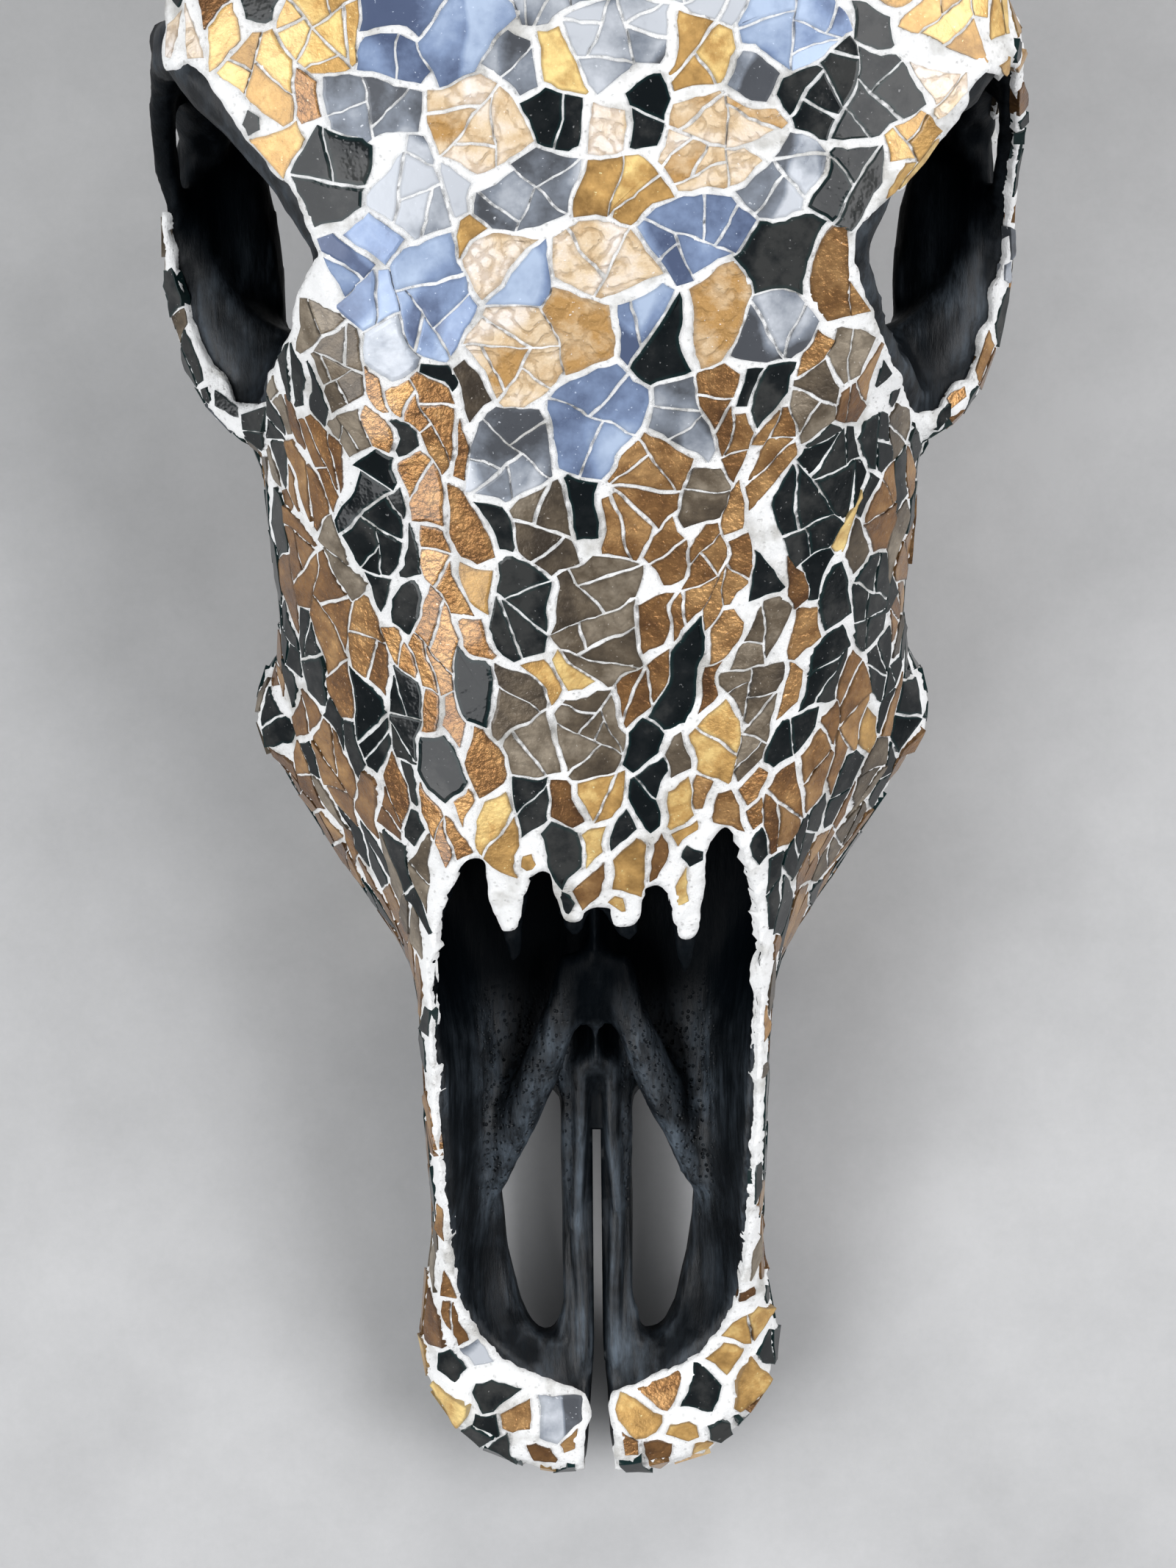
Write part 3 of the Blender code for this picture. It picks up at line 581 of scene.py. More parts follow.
@dataclass
class Skin:
    """An evenly meshed skin of the skull, with its points and normals as rows."""

    obj: bpy.types.Object
    points: np.ndarray = field(init=False)
    normals: np.ndarray = field(init=False)
    edges: np.ndarray = field(init=False)
    broad_normals: np.ndarray = field(init=False)

    def __post_init__(self) -> None:
        """Reads the mesh."""
        mesh = self.obj.data
        self.points = read_vectors(mesh.vertices, "co")
        self.normals = read_vectors(mesh.vertices, "normal")
        edges = np.empty(len(mesh.edges) * 2, dtype=np.int32)
        mesh.edges.foreach_get("vertices", edges)
        self.edges = edges.reshape(-1, 2)
        self.broad_normals = unit(self.spread(self.normals, 12))

    def bulge(self) -> np.ndarray:
        """How far each point stands out from its neighbours, in tenths of a mm."""
        mean = self.spread(self.points, 6)
        return ((self.points - mean) * self.broad_normals).sum(axis=1) / MM * 10

    def spread(self, rows: np.ndarray, times: int) -> np.ndarray:
        """Averages a per-point row with its neighbours, several times over."""
        a, b = self.edges.T
        count = len(self.points)
        degree = np.bincount(a, minlength=count) + np.bincount(b, minlength=count)
        for _ in range(times):
            total = np.stack(
                [
                    np.bincount(a, rows[b, k], count) + np.bincount(b, rows[a, k], count)
                    for k in range(rows.shape[1])
                ],
                axis=1,
            )
            rows = 0.4 * rows + 0.6 * total / np.maximum(degree, 1)[:, None]
        return rows


# Where the mosaic lies


@dataclass
class Field:
    """Which part of the skull's skin the mosaic covers, and how its glass is sized there.

    Profiles are (t, value) pairs in mm along the skull.
    """

    tip_y: float
    lower_edge: tuple = (
        (0, 8), (40, 11), (60, 14), (136, 18), (150, 22), (284, 25), (291, 62), (300, 82),
        (344, 84), (349, 106), (353, 139), (400, 142), (440, 145), (470, 149), (510, 152),
    )
    inner_edge: tuple = (
        (22, -60), (23, 5), (27, 14), (32, 25), (41, 31.5), (57, 37.0), (66, 38.6), (82, 39.6), (97, 40.4),
        (113, 40.6), (130, 40.8), (141, 40.8), (142, -60),
    )
    nose_floor: tuple = (
        (98, -60), (100, 50), (120, 62), (136, 69), (150, 76), (165, 85), (200, 96), (250, 112), (300, 130), (302, -60),
    )
    # Edges of the mosaic round the two eyes, x and t, as seen from above.
    right_eye: tuple = (
        (-95, 344), (-97, 340), (-98.5, 334), (-98.5, 330), (-99, 325), (-98, 318), (-96.8, 314), (-95.7, 311),
        (-97, 307), (-97.4, 304), (-96.6, 298), (-93.7, 292), (-90.8, 286), (-85.5, 280.6), (-81, 276), (-77, 275.5),
        (-76, 281), (-74.3, 289), (-72, 292), (-67, 295.8), (-61.5, 303), (-63, 307), (-64.5, 312), (-67, 316),
        (-70, 319), (-73, 323), (-77, 328), (-82, 335.5), (-85.5, 341), (-89.8, 344.5),
    )
    left_eye: tuple = (
        (93, 341), (95, 335), (96, 331), (98.5, 328), (100.4, 324), (100.7, 320), (99.5, 315), (97.7, 311), (97, 306),
        (96.5, 301), (97.1, 296), (94.1, 292.4), (94, 288), (91.6, 282), (86.8, 279.6), (83.7, 274.3), (78.5, 272),
        (74.5, 275), (72.5, 279), (69, 283), (66, 288), (62, 296), (60, 300), (59.5, 304), (61, 307), (65, 311),
        (70.5, 315), (76, 318.5), (80.5, 324.5), (83, 330), (85.5, 337), (89.5, 341),
    )
    orbit_centre: Vector = field(default_factory=lambda: Vector((84, 309, 119)))
    orbit_reach: float = 52.0
    arch_end: float = 322.0

    def spots(self, points: np.ndarray) -> np.ndarray:
        """Points as x, t and z in mm."""
        return (np.asarray(points) - np.array([0.0, self.tip_y, 0.0])) / MM

    def cover(self, points: np.ndarray, normals: np.ndarray) -> np.ndarray:
        """How far inside the mosaic's edge each point of the skin lies.

        Args:
            points: points on the skin, as rows.
            normals: the skin's normals there.

        Returns:
            Roughly the distance in mm, negative on bare bone.
        """
        x, t, z = self.spots(points).T
        side = np.where(x < 0, -1.0, 1.0)
        far = np.abs(x)
        out, back, up = normals[:, 0] * side, normals[:, 1], normals[:, 2]
        depth = z - np.interp(t, *zip(*self.lower_edge))
        depth = np.minimum(depth, (up + 0.42) * 12)
        depth = np.where(t < 292, np.minimum(depth, (out + 0.42) * 10), depth)
        depth = np.minimum(depth, far - np.interp(t, *zip(*self.inner_edge)))
        depth = np.where(far < 44, np.minimum(depth, z - np.interp(t, *zip(*self.nose_floor))), depth)
        notch = (t > 134) & (t < 176) & (far < 43)
        depth = np.where(notch, np.minimum(depth, (up - 0.42) * 12), depth)
        tips = t - np.select([x < -13.5, x < 1, x < 13.5], [148.0, 150.0, 149.0], 146.0)
        depth = np.where((far < 29) & (t < 176) & (t > 130), np.minimum(depth, tips), depth)
        reach = np.stack([far, t, z], 1) - np.array(self.orbit_centre)
        distance = np.linalg.norm(reach, axis=1)
        low = (t > 293) & (z < 137)
        side_on = np.where(distance < 40, (out + 0.1) * 12, (out - 0.15) * 12)
        depth = np.where(low, np.minimum(depth, np.minimum(far - 80, side_on)), depth)
        inward = -(reach[:, 0] * out + reach[:, 1] * back + reach[:, 2] * up) / np.maximum(distance, 1e-6)
        depth = np.where(distance < self.orbit_reach, np.minimum(depth, (0.55 - inward) * 12), depth)
        seen = (distance < self.orbit_reach + 8) & ((up > 0.05) | (inward > 0))
        for eye in (self.right_eye, self.left_eye):
            depth = np.where(seen, np.minimum(depth, clear_of(eye, x, t) - 0.3), depth)
        depth = np.where((x < 0) & (far > 86) & (t > 322) & (t < 362) & (z < 150), -5.0, depth)
        behind = (x > 86) & (x < 100) & (t > 324) & (t < 348) & (z < 104) & (up > -0.3)
        depth = np.where(behind, -5.0, depth)
        flanks = [(out - 0.35) * 10, (0.05 - up) * 14, self.arch_end - t, t - 300]
        arch = np.minimum.reduce([far - 70, 112 - z, z - 79, *flanks])
        depth = np.maximum(depth, arch)
        depth = np.where(t > 478, np.minimum(depth, (0.62 - back) * 14), depth)
        depth = np.where((far > 82) & (t > 440), np.minimum(depth, 104 - far + (t - 474) * 0.35), depth)
        ragged = [noise.noise(p) for p in (points * 150).tolist()]
        return depth + 0.7 * np.array(ragged)


class Region(Enum):
    """Parts of the mosaic that are laid with their own sizes and colours of glass."""

    MUZZLE_TIP = "muzzle_tip"
    MUZZLE_BAR = "muzzle_bar"
    NOSE_TIP = "nose_tip"
    NOSE = "nose"
    BRIDGE = "bridge"
    CHEEK = "cheek"
    SIDE = "side"
    EYE_RIM = "eye_rim"
    BROW = "brow"
    FOREHEAD = "forehead"
    STEM = "stem"


@dataclass(frozen=True)
class Laying:
    """How one region is laid.

    Tiles are size_mm wide and stretched along the skull, gap_mm apart, and cut down to pieces of
    about piece_mm2; cracked is the share of them that is broken further, shares are the glasses, and
    margin_mm is how far they keep from the mosaic's edge.
    """

    size_mm: float
    stretch: float
    gap_mm: float
    piece_mm2: float
    cracked: float
    shares: dict[Glass, float]
    margin_mm: float = 1.2


# C is gold under a painted glare; V and U are black glass under painted reflections.
B, G, C, Z, S, V, U = Glass.BLACK, Glass.GOLD, Glass.GOLD_WITH_PAINTED_GLARE, Glass.BRONZE, Glass.SMOKE, Glass.BLACK_WITH_PAINTED_GREY_REFLECTION, Glass.BLACK_WITH_PAINTED_SKY_REFLECTION
LAYINGS: dict[Region, Laying] = {
    Region.MUZZLE_TIP: Laying(15.0, 1.2, 3.2, 260, 0.0, {B: 0.44, Z: 0.20, G: 0.26, V: 0.10}, 1.9),
    Region.MUZZLE_BAR: Laying(7.5, 2.6, 1.7, 140, 0.2, {Z: 0.46, B: 0.36, S: 0.18}, 0.7),
    Region.NOSE_TIP: Laying(8.5, 2.4, 2.0, 190, 0.25, {G: 0.24, Z: 0.38, B: 0.38}, 1.3),
    Region.NOSE: Laying(11.5, 2.4, 1.3, 240, 0.65, {S: 0.26, B: 0.38, Z: 0.26, G: 0.10}),
    Region.BRIDGE: Laying(15.5, 1.5, 1.25, 230, 0.6, {U: 0.20, V: 0.20, G: 0.16, C: 0.16, B: 0.18, Z: 0.06, S: 0.04}),
    Region.CHEEK: Laying(9.5, 2.7, 1.15, 170, 0.6, {Z: 0.46, B: 0.38, S: 0.13, G: 0.03}),
    Region.SIDE: Laying(8.0, 2.8, 1.0, 120, 0.5, {B: 0.46, Z: 0.38, S: 0.16}),
    Region.EYE_RIM: Laying(8.0, 2.2, 1.3, 130, 0.4, {B: 0.46, S: 0.30, Z: 0.16, V: 0.08}, 0.7),
    Region.BROW: Laying(15.0, 1.5, 1.25, 200, 0.55, {G: 0.34, B: 0.38, Z: 0.08, C: 0.20}),
    Region.FOREHEAD: Laying(17.5, 1.5, 1.3, 260, 0.55, {V: 0.28, U: 0.15, C: 0.21, B: 0.21, G: 0.15}),
    Region.STEM: Laying(10.5, 1.4, 1.5, 130, 0.5, {B: 0.5, Z: 0.3, G: 0.2}),
}


def region_of(spot: Vector, up: float) -> Region:
    """The region that a spot on the skull belongs to.

    Args:
        spot: x, t and z in mm.
        up: how far the skin faces up there, 1 where it lies flat.

    Returns:
        The region.
    """
    far, t, z = abs(spot.x), spot.y, spot.z
    if t < 50:
        return Region.MUZZLE_TIP
    if t < 140:
        return Region.MUZZLE_BAR
    if far > 82 and t > 440:
        return Region.STEM
    if t < 180 and far < 33:
        return Region.NOSE_TIP
    if t > 268 and z < 138 and far > 74:
        return Region.EYE_RIM
    if up < 0.55 and t < 300:
        return Region.SIDE
    if t < 250 and far < 24:
        return Region.NOSE
    if t < 282 and far >= 24:
        return Region.CHEEK
    if t < 306:
        return Region.BRIDGE
    if far > 54 and t < 380:
        return Region.BROW
    return Region.FOREHEAD


@dataclass
class Tile:
    """A flat piece of glass: its outline, the way that it faces and runs, and what it is made of."""

    seed: Vector
    normal: Vector
    along: Vector
    stretch: float
    size: float
    region: Region
    glass: Glass
    slack: float = 1.0
    loop: Loop = field(default_factory=list)

    def pull(self, step: Vector) -> Vector:
        """What the tile's stretch takes off a step along its flow."""
        return self.along * step.dot(self.along) * (1 - 1 / self.stretch**2)

    def middle(self) -> Vector:
        """The mean of the outline's points."""
        return sum(self.loop, Vector()) / len(self.loop)

    def area_mm2(self) -> float:
        """The area inside the outline."""
        total = Vector()
        for i, point in enumerate(self.loop):
            total += self.loop[i - 1].cross(point)
        return abs(total.dot(self.normal)) / 2 / MM**2

    def rim_mm(self) -> float:
        """The length of the outline."""
        return sum((self.loop[i] - self.loop[i - 1]).length for i in range(len(self.loop))) / MM

    def part(self, loop: Loop, glass: Glass | None = None) -> "Tile":
        """A smaller tile of the same kind."""
        return replace(self, loop=loop, glass=glass or self.glass)

    def covers(self, point: Vector) -> bool:
        """Whether a point lies over the tile or just under it."""
        if abs((point - self.loop[0]).dot(self.normal)) > 3 * MM:
            return False
        side = self.along.cross(self.normal)
        x, y = point.dot(self.along), point.dot(side)
        inside = False
        ax, ay = self.loop[-1].dot(self.along), self.loop[-1].dot(side)
        for corner in self.loop:
            bx, by = corner.dot(self.along), corner.dot(side)
            if (ay > y) != (by > y) and x < (bx - ax) * (y - ay) / (by - ay) + ax:
                inside = not inside
            ax, ay = bx, by
        return inside

    def probes(self) -> Loop:
        """The outline's corners and the middles of its edges."""
        return self.loop + [(self.loop[i - 1] + self.loop[i]) / 2 for i in range(len(self.loop))]


@dataclass(frozen=True)
class Patch:
    """A large tile that was broken in place, by its middle in mm and its size."""

    x: float
    t: float
    size_mm: float
    stretch: float
    glass: Glass


def clipped(loop: Loop, at: Vector, way: Vector) -> Loop:
    """The part of a flat loop behind a plane.

    Args:
        loop: the loop's points in order.
        at: a point of the plane.
        way: the plane's normal; what lies that way is cut off.

    Returns:
        The points that are left, in order, or none.
    """
    sides = [(point - at).dot(way) for point in loop]
    if max(sides) <= 0:
        return loop
    if min(sides) >= 0:
        return []
    bm = bmesh.new()
    bm.faces.new([bm.verts.new(point) for point in loop])
    bmesh.ops.bisect_plane(
        bm, geom=[*bm.verts, *bm.edges, *bm.faces], dist=1e-7, plane_co=at, plane_no=way, clear_outer=True
    )
    largest = max(bm.faces, key=lambda face: face.calc_area(), default=None)
    left = [v.co.copy() for v in largest.verts] if largest else []
    bm.free()
    return left


def split(tile: Tile, at: Vector, way: Vector, gap: float) -> list[Tile]:
    """Cuts a tile in two and moves the halves apart.

    Args:
        tile: the tile.
        at: a point of the cut.
        way: across the cut.
        gap: the width between the halves.

    Returns:
        The halves that are left.
    """
    way = way.normalized()
    halves = clipped(tile.loop, at - way * gap / 2, way), clipped(tile.loop, at + way * gap / 2, -way)
    return [tile.part(half) for half in halves if len(half) > 2]


@dataclass
class Mosaic:
    """The broken glass: tiles laid over the skin, cut, cracked and set flat on it."""

    skin: Skin
    covering: Field
    thickness_mm: float = 2.6
    crack_mm: float = 0.62
    smallest_mm2: float = 8.0
    tilt_degrees: float = 1.4
    proud_mm: float = 0.15
    flatness_mm: float = 0.75
    floating_mm: float = 1.5
    wave_mm: float = 4.2
    crook_mm: float = 1.1
    chip_mm: float = 0.38
    rims_mm: tuple[float, ...] = (0.25, 0.45, 0.7, 1.0)
    patches: tuple[Patch, ...] = (
        Patch(0, 222, 26, 1.0, Glass.SMOKE),
        Patch(-1, 197, 21, 1.2, Glass.SMOKE),
        Patch(22, 209, 14, 2.6, Glass.BLACK),
        Patch(40, 214, 18, 2.0, Glass.SMOKE),
        Patch(-51, 248, 24, 1.4, Glass.BLACK),
        Patch(54, 250, 24, 1.5, Glass.BLACK),
        Patch(68, 228, 17, 1.9, Glass.BLACK),
        Patch(-38, 268, 16, 2.6, Glass.BRONZE),
        Patch(-60, 282, 20, 1.5, Glass.SMOKE),
        Patch(-58, 316, 22, 1.3, Glass.BLACK),
        Patch(64, 334, 21, 1.3, Glass.BLACK),
        Patch(42, 300, 17, 1.8, Glass.BLACK),
        Patch(58, 296, 15, 1.9, Glass.BRONZE),
        Patch(28, 324, 27, 1.1, Glass.GOLD_WITH_PAINTED_GLARE),
        Patch(4, 300, 19, 1.5, Glass.GOLD_WITH_PAINTED_GLARE),
        Patch(2, 266, 24, 1.4, Glass.BLACK_WITH_PAINTED_SKY_REFLECTION),
        Patch(14, 286, 17, 2.0, Glass.BLACK_WITH_PAINTED_GREY_REFLECTION),
        Patch(-14, 314, 21, 1.2, Glass.BLACK_WITH_PAINTED_GREY_REFLECTION),
        Patch(-24, 330, 22, 1.3, Glass.GOLD_WITH_PAINTED_GLARE),
        Patch(-74, 341, 22, 1.2, Glass.GOLD),
        Patch(12, 181, 12, 2.8, Glass.BLACK),
        Patch(-22.5, 173, 11, 2.4, Glass.GOLD),
        Patch(-7.6, 168, 9, 3.0, Glass.BLACK),
        Patch(7.5, 163, 9, 2.0, Glass.GOLD),
        Patch(19, 178, 9, 2.8, Glass.GOLD),
        Patch(26, 166, 9, 3.2, Glass.BRONZE),
        Patch(8, 346, 26, 1.1, Glass.BLACK_WITH_PAINTED_GREY_REFLECTION),
        Patch(45, 350, 24, 1.1, Glass.BLACK_WITH_PAINTED_SKY_REFLECTION),
        Patch(66, 362, 22, 1.2, Glass.GOLD),
        Patch(-37, 44, 12, 1.4, Glass.BRONZE),
        Patch(-39, 29, 12, 1.4, Glass.BLACK),
        Patch(-27, 23, 14, 1.1, Glass.BLACK),
        Patch(-12, 17, 13, 1.0, Glass.BLACK_WITH_PAINTED_GREY_REFLECTION),
        Patch(-31, 12, 13, 1.0, Glass.BLACK),
        Patch(-15, 5, 11, 1.0, Glass.BRONZE),
        Patch(12, 17, 13, 1.0, Glass.GOLD),
        Patch(26, 22, 15, 1.0, Glass.BLACK),
        Patch(17, 6, 12, 1.0, Glass.BRONZE),
        Patch(33, 10, 12, 1.0, Glass.BLACK),
        Patch(39, 25, 13, 1.2, Glass.GOLD),
        Patch(38, 41, 12, 1.5, Glass.GOLD),
        Patch(79, 202, 11, 1.4, Glass.BLACK),
        Patch(80, 191, 11, 2.0, Glass.BRONZE),
        Patch(-80, 201, 11, 1.5, Glass.BLACK),
        Patch(-80, 189, 11, 1.8, Glass.BRONZE),
        Patch(-100, 303, 8, 2.6, Glass.BLACK),
        Patch(-96, 288, 9, 2.2, Glass.BLACK),
        Patch(-101, 320, 7, 2.6, Glass.BRONZE),
        Patch(-82, 272, 9, 1.4, Glass.BLACK),
        Patch(-74, 265, 10, 1.5, Glass.BLACK),
        Patch(100.5, 311, 8, 2.6, Glass.BLACK_WITH_PAINTED_GREY_REFLECTION),
        Patch(99.5, 297, 7, 2.4, Glass.BLACK),
        Patch(96.5, 285, 8, 2.2, Glass.BRONZE),
        Patch(88.5, 274, 8, 1.8, Glass.BRONZE),
        Patch(79, 267, 9, 1.6, Glass.BLACK),
    )
    seed: int = 17
    tiles: list[Tile] = field(default_factory=list)
    shards: list[Tile] = field(default_factory=list)
    placed: list[tuple[Tile, Vector, float]] = field(default_factory=list)

    def __post_init__(self) -> None:
        """Prepares the searches that every step uses."""
        self.chance = random.Random(self.seed)
        self.depth = self.covering.cover(self.skin.points, self.skin.normals)
        self.tree = KDTree(len(self.skin.points))
        for i, point in enumerate(self.skin.points.tolist()):
            self.tree.insert(point, i)
        self.tree.balance()
        self.surface = BVHTree.FromObject(self.skin.obj, bpy.context.evaluated_depsgraph_get())
        self.find_edge()

    def find_edge(self) -> None:
        """Finds the mosaic's edge, and which way is out of it at each of its points."""
        a, b = self.skin.edges.T
        inside = self.depth > 0
        crossing = inside[a] != inside[b]
        a, b = a[crossing], b[crossing]
        inner, outer = np.where(inside[a], a, b), np.where(inside[a], b, a)
        self.edge_points = (self.skin.points[inner] + self.skin.points[outer]) / 2
        self.edge_normals = self.skin.normals[inner]
        ways = self.skin.points[outer] - self.skin.points[inner]
        self.edge_tree = KDTree(len(inner))
        for i, point in enumerate(self.edge_points.tolist()):
            self.edge_tree.insert(point, i)
        self.edge_tree.balance()
        averaged = [
            sum((Vector(ways[j]) for _, j, _ in self.edge_tree.find_range(point, 4 * MM)), Vector())
            for point in self.edge_points.tolist()
        ]
        self.edge_ways = unit(np.array(averaged))

    def edge_distance(self, point: Vector) -> tuple[float, int]:
        """How far inside the mosaic's edge a point is, in metres, and the nearest edge point."""
        _, at, _ = self.tree.find(point)
        _, index, distance = self.edge_tree.find(point)
        return (distance if self.depth[at] > 0 else -distance), index

    def tile_at(self, index: int, scale: float) -> Tile:
        """A tile with its seed on one point of the skin.

        Args:
            index: the skin point.
            scale: its size as a share of the region's own.

        Returns:
            The tile, not yet cut.
        """
        point = Vector(self.skin.points[index])
        normal = Vector(self.skin.broad_normals[index])
        spot = Vector(self.covering.spots(point))
        region = region_of(spot, normal.z)
        laying = LAYINGS[region]
        turn = self.chance.gauss(0, 0.28 if laying.stretch > 1.5 else 1.2)
        flow = Vector((-0.16 * (1 if spot.x > 0 else -1), -1, -0.25)) if spot.y < 300 else Vector((0, -1, 0))
        along = (flow - normal * flow.dot(normal)).normalized()
        along.rotate(Matrix.Rotation(turn, 3, normal))
        stretch = 1 + (laying.stretch - 1) * self.chance.uniform(0.6, 1.35)
        drawn = self.chance.choices(list(laying.shares), list(laying.shares.values()))[0]
        return Tile(point, normal, along, stretch, laying.size_mm * scale * MM, region, drawn)

    def lay_tiles(self) -> None:
        """Throws seeds over the covered skin, large tiles first, until no more fit."""
        for patch in self.patches:
            high = Vector((patch.x * MM, patch.t * MM + self.covering.tip_y, 0.25))
            landed = self.surface.ray_cast(high, Vector((0, 0, -1)))[0]
            if landed:
                tile = self.tile_at(self.tree.find(landed)[1], 1.0)
                tile = replace(tile, size=patch.size_mm * MM, stretch=patch.stretch, glass=patch.glass)
                self.tiles.append(replace(tile, slack=1.8 if patch.size_mm < 12 else 1.0))
        order = np.flatnonzero(self.depth > 1.0).tolist()
        for scale, tries, inset in ((1.3, 1500, 6.0), (1.0, 9000, 3.6), (0.66, 16000, 2.0)):
            self.chance.shuffle(order)
            for index in order[:tries]:
                tile = self.tile_at(index, scale * self.chance.uniform(0.85, 1.15))
                if self.edge_distance(tile.seed)[0] > inset * MM and self.has_room(tile):
                    self.tiles.append(tile)

    def has_room(self, tile: Tile) -> bool:
        """Whether a tile is far enough from those already laid, in both their metrics."""
        for other in self.tiles:
            step = other.seed - tile.seed
            need = 0.5 * (other.size + tile.size)
            if step.length_squared > (need * 2.6) ** 2 or other.normal.dot(tile.normal) < -0.3:
                continue
            squeezed = step - 0.5 * (tile.pull(step) + other.pull(step))
            if step.dot(squeezed) < (0.72 * need) ** 2:
                return False
        return True

    def cut_tiles(self) -> None:
        """Cuts each tile back to the grout lines between it and its neighbours, and bends its sides."""
        finder = KDTree(len(self.tiles))
        for i, tile in enumerate(self.tiles):
            finder.insert(tile.seed, i)
        finder.balance()
        for i, tile in enumerate(self.tiles):
            reach = tile.size * 1.2 * max(1.0, tile.stretch * 0.9)
            side = tile.along.cross(tile.normal)
            loop = [tile.seed + (tile.along * a + side * b) * reach for a, b in ((1, 1), (-1, 1), (-1, -1), (1, -1))]
            gap = LAYINGS[tile.region].gap_mm * MM
            for _, j, _ in sorted(finder.find_range(tile.seed, reach + 40 * MM), key=lambda found: found[2]):
                other = self.tiles[j]
                if j == i or other.normal.dot(tile.normal) < -0.3 or not loop:
                    continue
                step = other.seed - tile.seed
                middle = tile.seed + step * tile.size / (tile.size + other.size)
                across = (step - 0.5 * (tile.pull(step) + other.pull(step))).normalized()
                width = 0.5 * (gap + LAYINGS[other.region].gap_mm * MM) * (0.5 + ((i * j) % 11) / 10)
                loop = clipped(loop, middle - across * width * 0.5, across)
            if len(loop) > 2:
                tile.loop = self.bent(tile.part(loop), 3.2, ((75, self.wave_mm),))

    def bent(self, tile: Tile, step_mm: float, waves: tuple[tuple[float, float], ...]) -> Loop:
        """A tile's outline with more points, pushed about within its plane by noise.

        Pieces that lie side by side are pushed alike, so the gap between them stays.

        Args:
            tile: the tile.
            step_mm: the distance between the points.
            waves: the noises, each as its scale and its height in mm.

        Returns:
            The new outline.
        """
        out: Loop = []
        for i, point in enumerate(tile.loop):
            step = tile.loop[(i + 1) % len(tile.loop)] - point
            pieces = max(1, round(step.length / (step_mm * MM)))
            for k in range(pieces):
                at = point + step * k / pieces
                for scale, height in waves:
                    push = Vector(noise.noise_vector(at * scale)) * height * MM
                    at += push - tile.normal * push.dot(tile.normal)
                if not out or (at - out[-1]).length > 0.6 * MM:
                    out.append(at)
        if len(out) > 3 and (out[0] - out[-1]).length < 0.6 * MM:
            out.pop()
        return out

    def seated(self, tile: Tile, proud: float = 0.0, lean: float = 0.0) -> Tile | None:
        """Lays a tile flat on the skin under its middle.

        Args:
            tile: the tile.
            proud: how far it stands off the skin.
            lean: how far it may lean, in radians.

        Returns:
            The tile in its new plane, or None where the skin faces another way.
        """
        middle = tile.middle()
        _, index, _ = self.tree.find(middle)
        normal = Vector(self.skin.broad_normals[index])
        if lean:
            normal = (normal + Vector([self.chance.gauss(0, lean) for _ in range(3)])).normalized()
        fall = tile.normal.dot(normal)
        if fall < 0.3:
            return None
        spot, _, _, _ = self.surface.find_nearest(middle)
        spot += normal * proud
        if fall > 0.9:
            loop = [point + tile.normal * ((spot - point).dot(normal) / fall) for point in tile.loop]
        else:
            turn = tile.normal.rotation_difference(normal)
            loop = [spot + turn @ (point - middle) for point in tile.loop]
        return replace(tile, normal=normal, loop=loop)

    def fitted(self, tile: Tile, limit: float, rounds: int = 4) -> list[Tile]:
        """Breaks a tile until every piece lies on the skin.

        Args:
            tile: the tile.
            limit: how far a corner may be off the skin.
            rounds: how often it may still be broken.

        Returns:
            The pieces, each seated on the skin.
        """
        seat = self.seated(tile)
        if not seat or len(seat.loop) < 3:
            return []
        off, worst, facing = 0.0, None, None
        for point in seat.probes():
            spot, normal, _, _ = self.surface.find_nearest(point)
            if (point - spot).length > off:
                off, worst, facing = (point - spot).length, point, normal
        if off <= limit:
            return [seat]
        area = seat.area_mm2()
        if rounds == 0 or area < self.smallest_mm2 * 2.5:
            return [seat] if off < limit * 2.2 else []
        middle = seat.middle()
        turn = facing - seat.normal
        way = turn - seat.normal * turn.dot(seat.normal)
        if way.length < 0.05:
            way = worst - middle
        gap = LAYINGS[seat.region].gap_mm * MM * 0.6 if area > 130 else self.crack_mm * MM
        middle += way.normalized() * self.chance.uniform(-0.6, 0.6) * MM
        return [piece for half in split(seat, middle, way, gap) for piece in self.fitted(half, limit, rounds - 1)]

    def trimmed(self, tile: Tile) -> Tile | None:
        """A tile cut back to just inside the mosaic's edge, or None."""
        margin = LAYINGS[tile.region].margin_mm * MM
        for _ in range(9):
            if len(tile.loop) < 3 or tile.area_mm2() < self.smallest_mm2:
                return None
            worst, index = min(self.edge_distance(point) for point in tile.probes())
            if worst > margin * 0.5:
                return tile
            way = Vector(self.edge_ways[index])
            tile = tile.part(clipped(tile.loop, Vector(self.edge_points[index]) - way * margin, way))
        return None

    def cut_down(self, tile: Tile, target: float, gap: float) -> list[Tile]:
        """Cuts a tile in two again and again until its pieces are small enough.

        Args:
            tile: the tile.
            target: about how large the pieces end up, in square mm.
            gap: the width of the cuts.

        Returns:
            The pieces.
        """
        area = tile.area_mm2()
        if area < target * self.chance.uniform(0.85, 1.8) or area < 3.2 * self.smallest_mm2:
            return [tile]
        middle = tile.middle()
        squeeze = 1 / max(1.0, tile.stretch * 0.75)
        reaches = [point - middle for point in tile.loop]
        reaches = [reach + tile.along * reach.dot(tile.along) * (squeeze - 1) for reach in reaches]
        way = max(reaches, key=lambda reach: reach.length).normalized()
        way.rotate(Matrix.Rotation(self.chance.gauss(0, 0.35), 3, tile.normal))
        at = middle + way * max(reach.length for reach in reaches) * self.chance.uniform(-0.2, 0.2)
        width = gap * self.chance.uniform(0.7, 1.4)
        return [piece for half in split(tile, at, way, width) for piece in self.cut_down(half, target, gap)]

